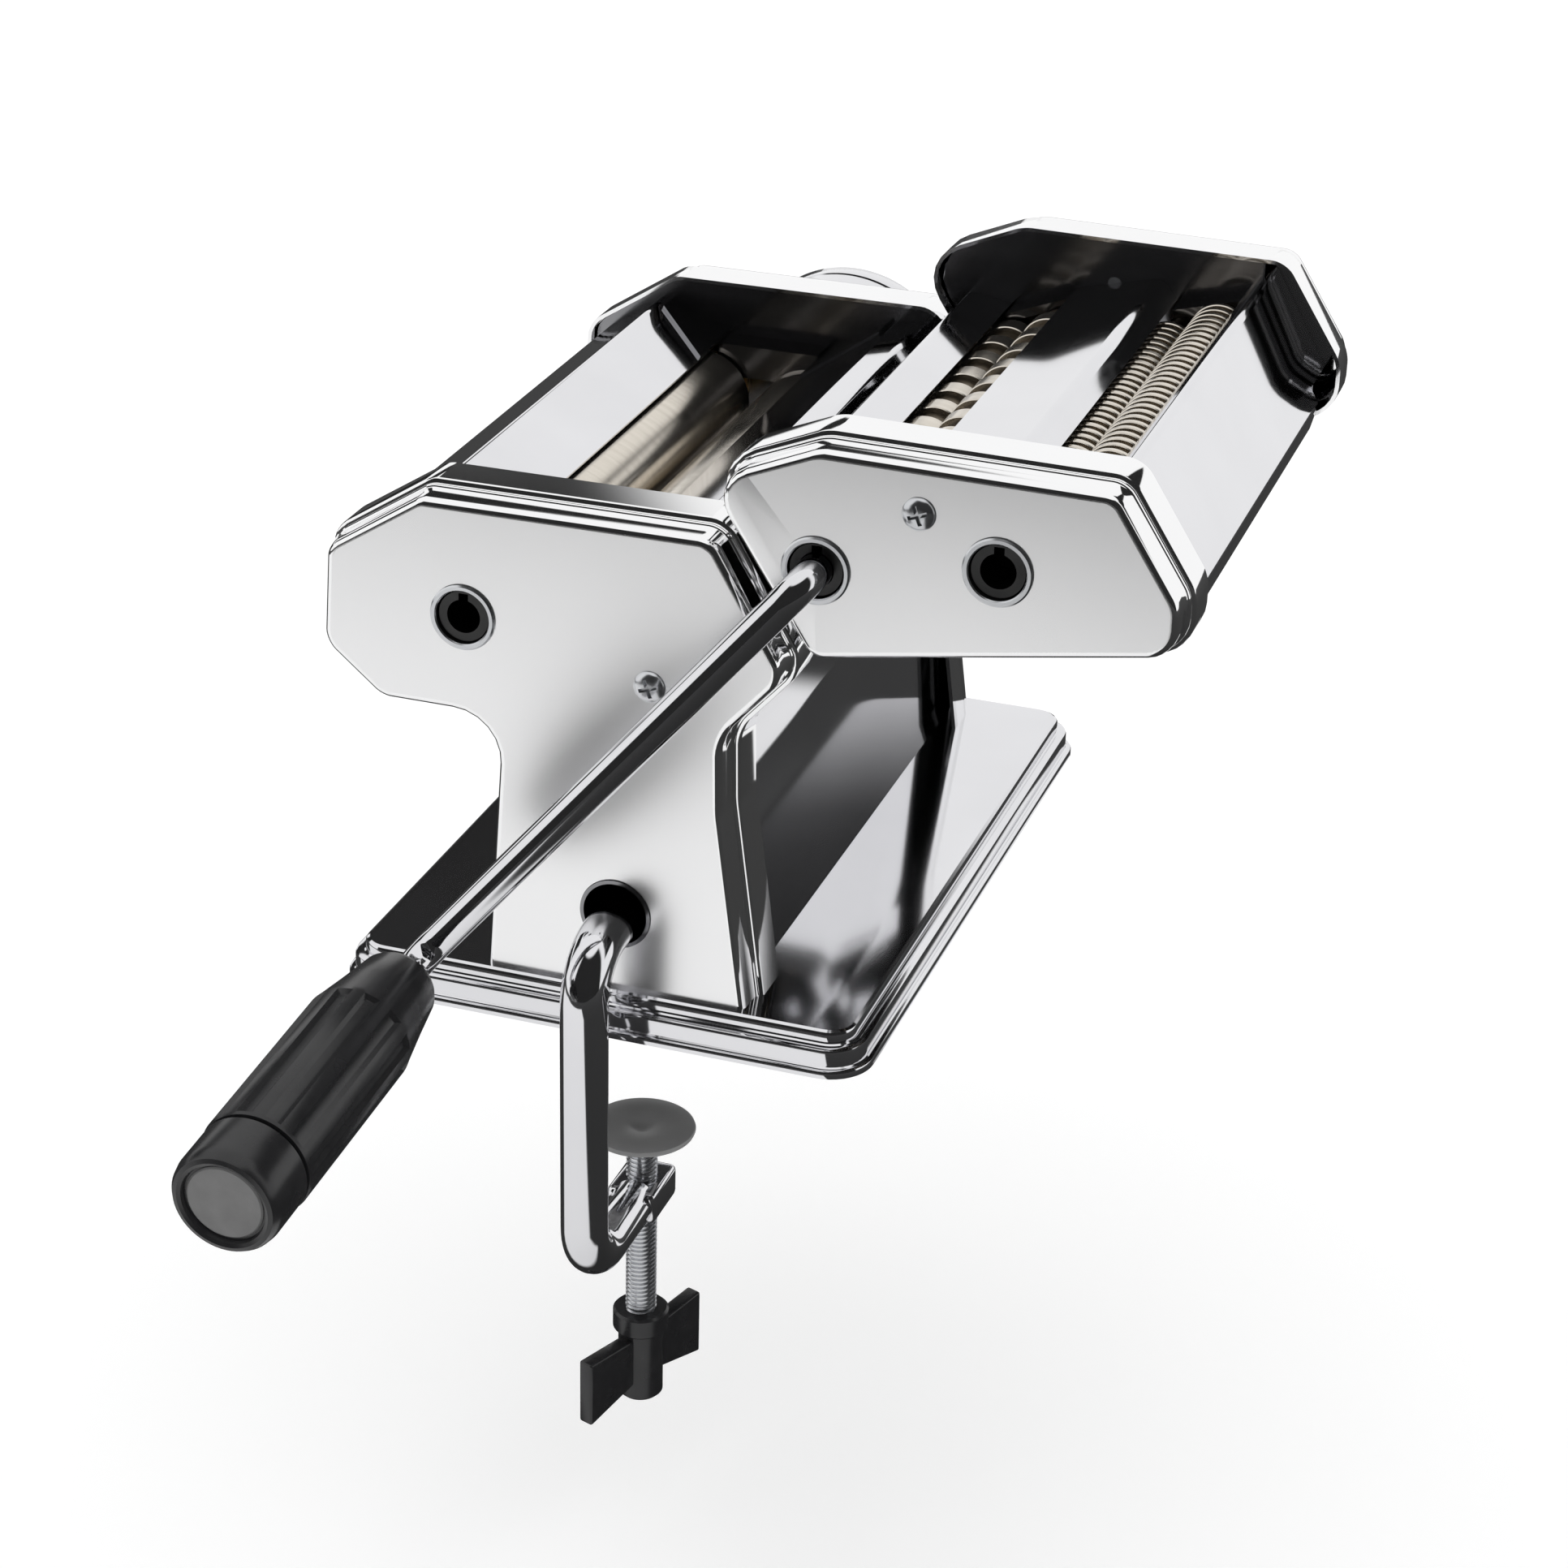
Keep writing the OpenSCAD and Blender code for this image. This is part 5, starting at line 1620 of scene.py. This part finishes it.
@dataclass(frozen=True)
class Dial(Assembly):
    """The thickness dial with its raised numbers.

    Args:
        back: Y of the wheel's back, where its profile starts.
        wheel: profile of the wheel, with one groove round it.
        numbers: how many numbers there are.
        sweep: degrees of the arc that they share.
        first: degrees where that arc starts.
        number_r: radius they stand on.
        number_up: their middle, in front of the wheel's back.
        number_size: size of their letters.
        number_half: half their thickness.
    """

    back: float = 96.95
    wheel: Profile = (
        (0, 0), (29.7, 0), (30.4, 0.7), (30.4, 6.3), (29.8, 6.7), (29.8, 7.3), (30.4, 7.7),
        (30.4, 13.2), (30.0, 14.0), (29.2, 14.3), (9.0, 14.3), (8.4, 13.7), (0, 13.7),
    )
    wheel_steps: int = 128
    numbers: int = 9
    sweep: float = 240.0
    first: float = 90.0
    number_r: float = 20.0
    number_up: float = 14.4
    number_size: float = 5.5
    number_half: float = 0.15
    number_steps: int = 3

    def pieces(self) -> list[Piece]:
        """Lists the wheel and its numbers."""
        wheel = turned([(ADJUST.place, shifted(self.wheel, self.back))], self.wheel_steps)
        return [
            Piece("dial_wheel", Body.DIAL, Slot.CHROME, ["thickness_dial"], wheel),
            Piece("dial_numbers", Body.DIAL, Slot.PLASTIC, [], self._numbers),
        ]

    def _numbers(self, bm: BMesh) -> None:
        """Adds the numbers round the front.

        Args:
            bm: mesh to add to.
        """
        for k in range(self.numbers):
            turn = math.radians(self.first - self.sweep * (k + 0.5) / self.numbers)
            across, down = self.number_r * math.cos(turn), self.number_r * math.sin(turn)
            spot = Matrix.Translation((across, -down, self.back + self.number_up))
            upright = Matrix.Rotation(-turn - math.pi / 2, 4, "Z")
            self._number(bm, ADJUST.place @ spot @ upright, k + 1)

    def _number(self, bm: BMesh, place: Matrix, value: int) -> None:
        """Adds a raised number, facing along the place's own Z.

        Args:
            bm: mesh to add to.
            place: middle of the number.
            value: the number.
        """
        curve = bpy.data.curves.new("number", "FONT")
        curve.body = str(value)
        curve.size = self.number_size
        curve.extrude = self.number_half
        curve.resolution_u = self.number_steps
        curve.align_x = curve.align_y = "CENTER"
        holder = linked("number", curve)
        graph = bpy.context.evaluated_depsgraph_get()
        mesh = bpy.data.meshes.new_from_object(holder.evaluated_get(graph))
        mesh.transform(place)
        bm.from_mesh(mesh)
        bmesh.ops.remove_doubles(bm, verts=bm.verts, dist=MERGE)
        bpy.data.objects.remove(holder)
        bpy.data.curves.remove(curve)
        bpy.data.meshes.remove(mesh)


# Studio


@dataclass(frozen=True)
class PhotoCamera:
    """Where the photograph was taken from.

    Args:
        lens: focal length in mm.
        sensor: width of the sensor in mm.
        azimuth: degrees the view turns from straight along Y.
        elevation: degrees it looks down.
        roll: degrees the picture is turned.
        target: the place near the middle of the picture.
        offset: where the target lies from the camera, to the right, up and ahead.
        reach: how far it sees, in metres.
    """

    lens: float = 82.448
    sensor: float = 36.0
    azimuth: float = 18.26
    elevation: float = 25.984
    roll: float = 1.488
    target: Triple = (32.9, 0.0, 60.0)
    offset: Triple = (19.209, 28.868, 912.848)
    reach: float = 20.0

    def add(self) -> None:
        """Adds the camera to the scene."""
        az, el, roll = (math.radians(v) for v in (self.azimuth, self.elevation, self.roll))
        ahead = Vector((-math.sin(az) * math.cos(el), math.cos(az) * math.cos(el), -math.sin(el)))
        level = ahead.cross(Vector((0, 0, 1))).normalized()
        above = level.cross(ahead)
        right = level * math.cos(roll) + above * math.sin(roll)
        up = above * math.cos(roll) - level * math.sin(roll)
        place = Vector(self.target)
        for way, distance in zip((right, up, ahead), self.offset):
            place -= way * distance
        data = bpy.data.cameras.new("photo camera")
        data.lens = self.lens
        data.sensor_width = self.sensor
        data.clip_end = self.reach
        camera = linked("photo camera", data)
        turn = Matrix((right, up, -ahead)).transposed().to_4x4()
        camera.matrix_world = Matrix.Translation(place * METRES) @ turn
        bpy.context.scene.camera = camera


@dataclass(frozen=True)
class Edge:
    """A soft edge of a dark card in the sky.

    Args:
        into: direction that points from the edge into the card.
        start: how far the edge lies from the middle of the sky, as a sine.
        soft: how soft it is.
    """

    into: Triple
    start: float
    soft: float


BEHIND = Edge((0.0, 1.0, 0.0), 0.1, 0.1)


@dataclass(frozen=True)
class Studio:
    """A white floor and sky; reflections see lit parts of the floor, and dark cards.

    Args:
        floor_half: half the length of the floor's side, in metres.
        floor_z: its height, below the clamp, in metres.
        floor_rough: its roughness.
        floor_tone: its brightness.
        floor_lift: how much light it gives off for the camera alone.
        dark: brightness of what reflections see dark.
        lit: borders in X and in Y of the floor's lit parts, in metres.
        lit_soft: half the width of their soft borders, in metres.
        cards: the edges that enclose each dark card in the sky.
    """

    floor_half: float = 3.0
    floor_z: float = -0.16
    floor_rough: float = 0.9
    floor_tone: float = 0.97
    floor_lift: float = 0.14
    dark: float = 0.02
    lit: Sequence[tuple[tuple[float, float], tuple[float, float]]] = (
        ((-1.2, 0.125), (-0.88, -0.11)),
        ((0.115, 0.215), (0.19, 0.46)),
    )
    lit_soft: float = 0.012
    cards: Sequence[tuple[Edge, ...]] = (
        (
            Edge((0.125, -0.309, 0.943), 0.0, 0.03),
            Edge((-0.747, -0.477, 0.463), 0.0, 0.03),
            Edge((0.0, 0.0, -1.0), -0.53, 0.04),
            BEHIND,
        ),
        (
            Edge((-0.903, -0.430, 0.0), 0.0, 0.04),
            Edge((0.0, 0.0, -1.0), -0.10, 0.05),
            BEHIND,
        ),
        (
            Edge((0.731, -0.682, 0.0), 0.0, 0.06),
            Edge((0.0, 0.0, -1.0), -0.88, 0.05),
            Edge((0.0, -1.0, 0.0), 0.1, 0.1),
        ),
        (
            Edge((0.954, -0.301, 0.0), 0.0, 0.03),
            Edge((0.0, 0.0, 1.0), 0.36, 0.04),
            Edge((0.0, 0.0, -1.0), -0.77, 0.05),
            BEHIND,
        ),
    )

    def add(self) -> None:
        """Adds the floor and the sky."""
        self._floor()
        self._sky()
        bpy.context.scene.view_settings.view_transform = "Standard"

    def _floor(self) -> None:
        """Adds the floor."""
        bm = bmesh.new()
        bmesh.ops.create_grid(bm, x_segments=1, y_segments=1, size=self.floor_half)
        mesh = bpy.data.meshes.new("floor")
        bm.to_mesh(mesh)
        bm.free()
        mesh.materials.append(self._floor_material())
        floor = linked("floor", mesh)
        floor.location.z = self.floor_z

    def _floor_material(self) -> bpy.types.Material:
        """Makes the floor's material, dark in reflections outside its lit parts.

        Returns:
            The material.
        """
        material = bpy.data.materials.new("floor")
        material.use_nodes = True
        wiring = Wiring(material.node_tree)
        place = wiring.node("TexCoord", {}).outputs["Object"]
        apart = wiring.node("SeparateXYZ", {0: place}).outputs
        lit = []
        for borders in self.lit:
            inside = []
            for name, (low, high) in zip("XY", borders):
                for border, soft in ((low, self.lit_soft), (high, -self.lit_soft)):
                    inside.append(wiring.soft_edge(apart[name], border - soft, border + soft))
            lit.append(wiring.joined("MULTIPLY", inside))
        unlit = wiring.math("SUBTRACT", 1.0, wiring.joined("MAXIMUM", lit))
        rays = wiring.node("LightPath", {}).outputs
        hidden = wiring.math("MULTIPLY", unlit, rays["Is Glossy Ray"])
        shader = {
            "Base Color": wiring.mix(hidden, (self.floor_tone,) * 3, (self.dark,) * 3),
            "Roughness": self.floor_rough,
            "Emission Color": (1, 1, 1, 1),
            "Emission Strength": wiring.math("MULTIPLY", self.floor_lift, rays["Is Camera Ray"]),
        }
        wiring.feed(material.node_tree.nodes["Principled BSDF"], shader)
        return material

    def _sky(self) -> None:
        """Makes the sky white, with the dark cards in it for reflections only."""
        world = bpy.data.worlds.new("studio")
        bpy.context.scene.world = world
        world.use_nodes = True
        wiring = Wiring(world.node_tree)
        way = wiring.node("TexCoord", {}).outputs["Generated"]
        cards = []
        for card in self.cards:
            inside = []
            for edge in card:
                dot = wiring.node("VectorMath", {0: way, 1: edge.into}, operation="DOT_PRODUCT")
                ends = (edge.start - edge.soft / 2, edge.start + edge.soft / 2)
                inside.append(wiring.soft_edge(dot.outputs["Value"], *ends))
            cards.append(wiring.joined("MULTIPLY", inside))
        glossy = wiring.node("LightPath", {}).outputs["Is Glossy Ray"]
        hidden = wiring.math("MULTIPLY", wiring.joined("MAXIMUM", cards), glossy)
        sky = {"Color": wiring.mix(hidden, (1, 1, 1), (self.dark,) * 3), "Strength": 1.0}
        wiring.feed(world.node_tree.nodes["Background"], sky)


def main() -> None:
    """Builds the model, the studio and the camera."""
    logging.basicConfig(level=logging.INFO)
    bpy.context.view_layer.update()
    materials = Materials()
    slots = {row["node"]: row["material_slot"] for row in frame["record"]["subparts"]}
    for name, obj in frame["nodes"].items():
        # Nodes named *_socket take the near black steel of the painted shade in the holes.
        materials.dress(obj, SOCKET_PAINTED_SHADE if name.endswith("_socket") else FINISHES[Slot(slots[name])])
    for assembly in (Base, Covers, Panels, Rollers, Fittings, Crank, Clamp, Dial):
        for piece in assembly().pieces():
            obj = piece.place(materials)
            LOG.info("%s: %d faces", obj.name, len(obj.data.polygons))
    Studio().add()
    PhotoCamera().add()
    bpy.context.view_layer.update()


if __name__ == "__main__":
    main()
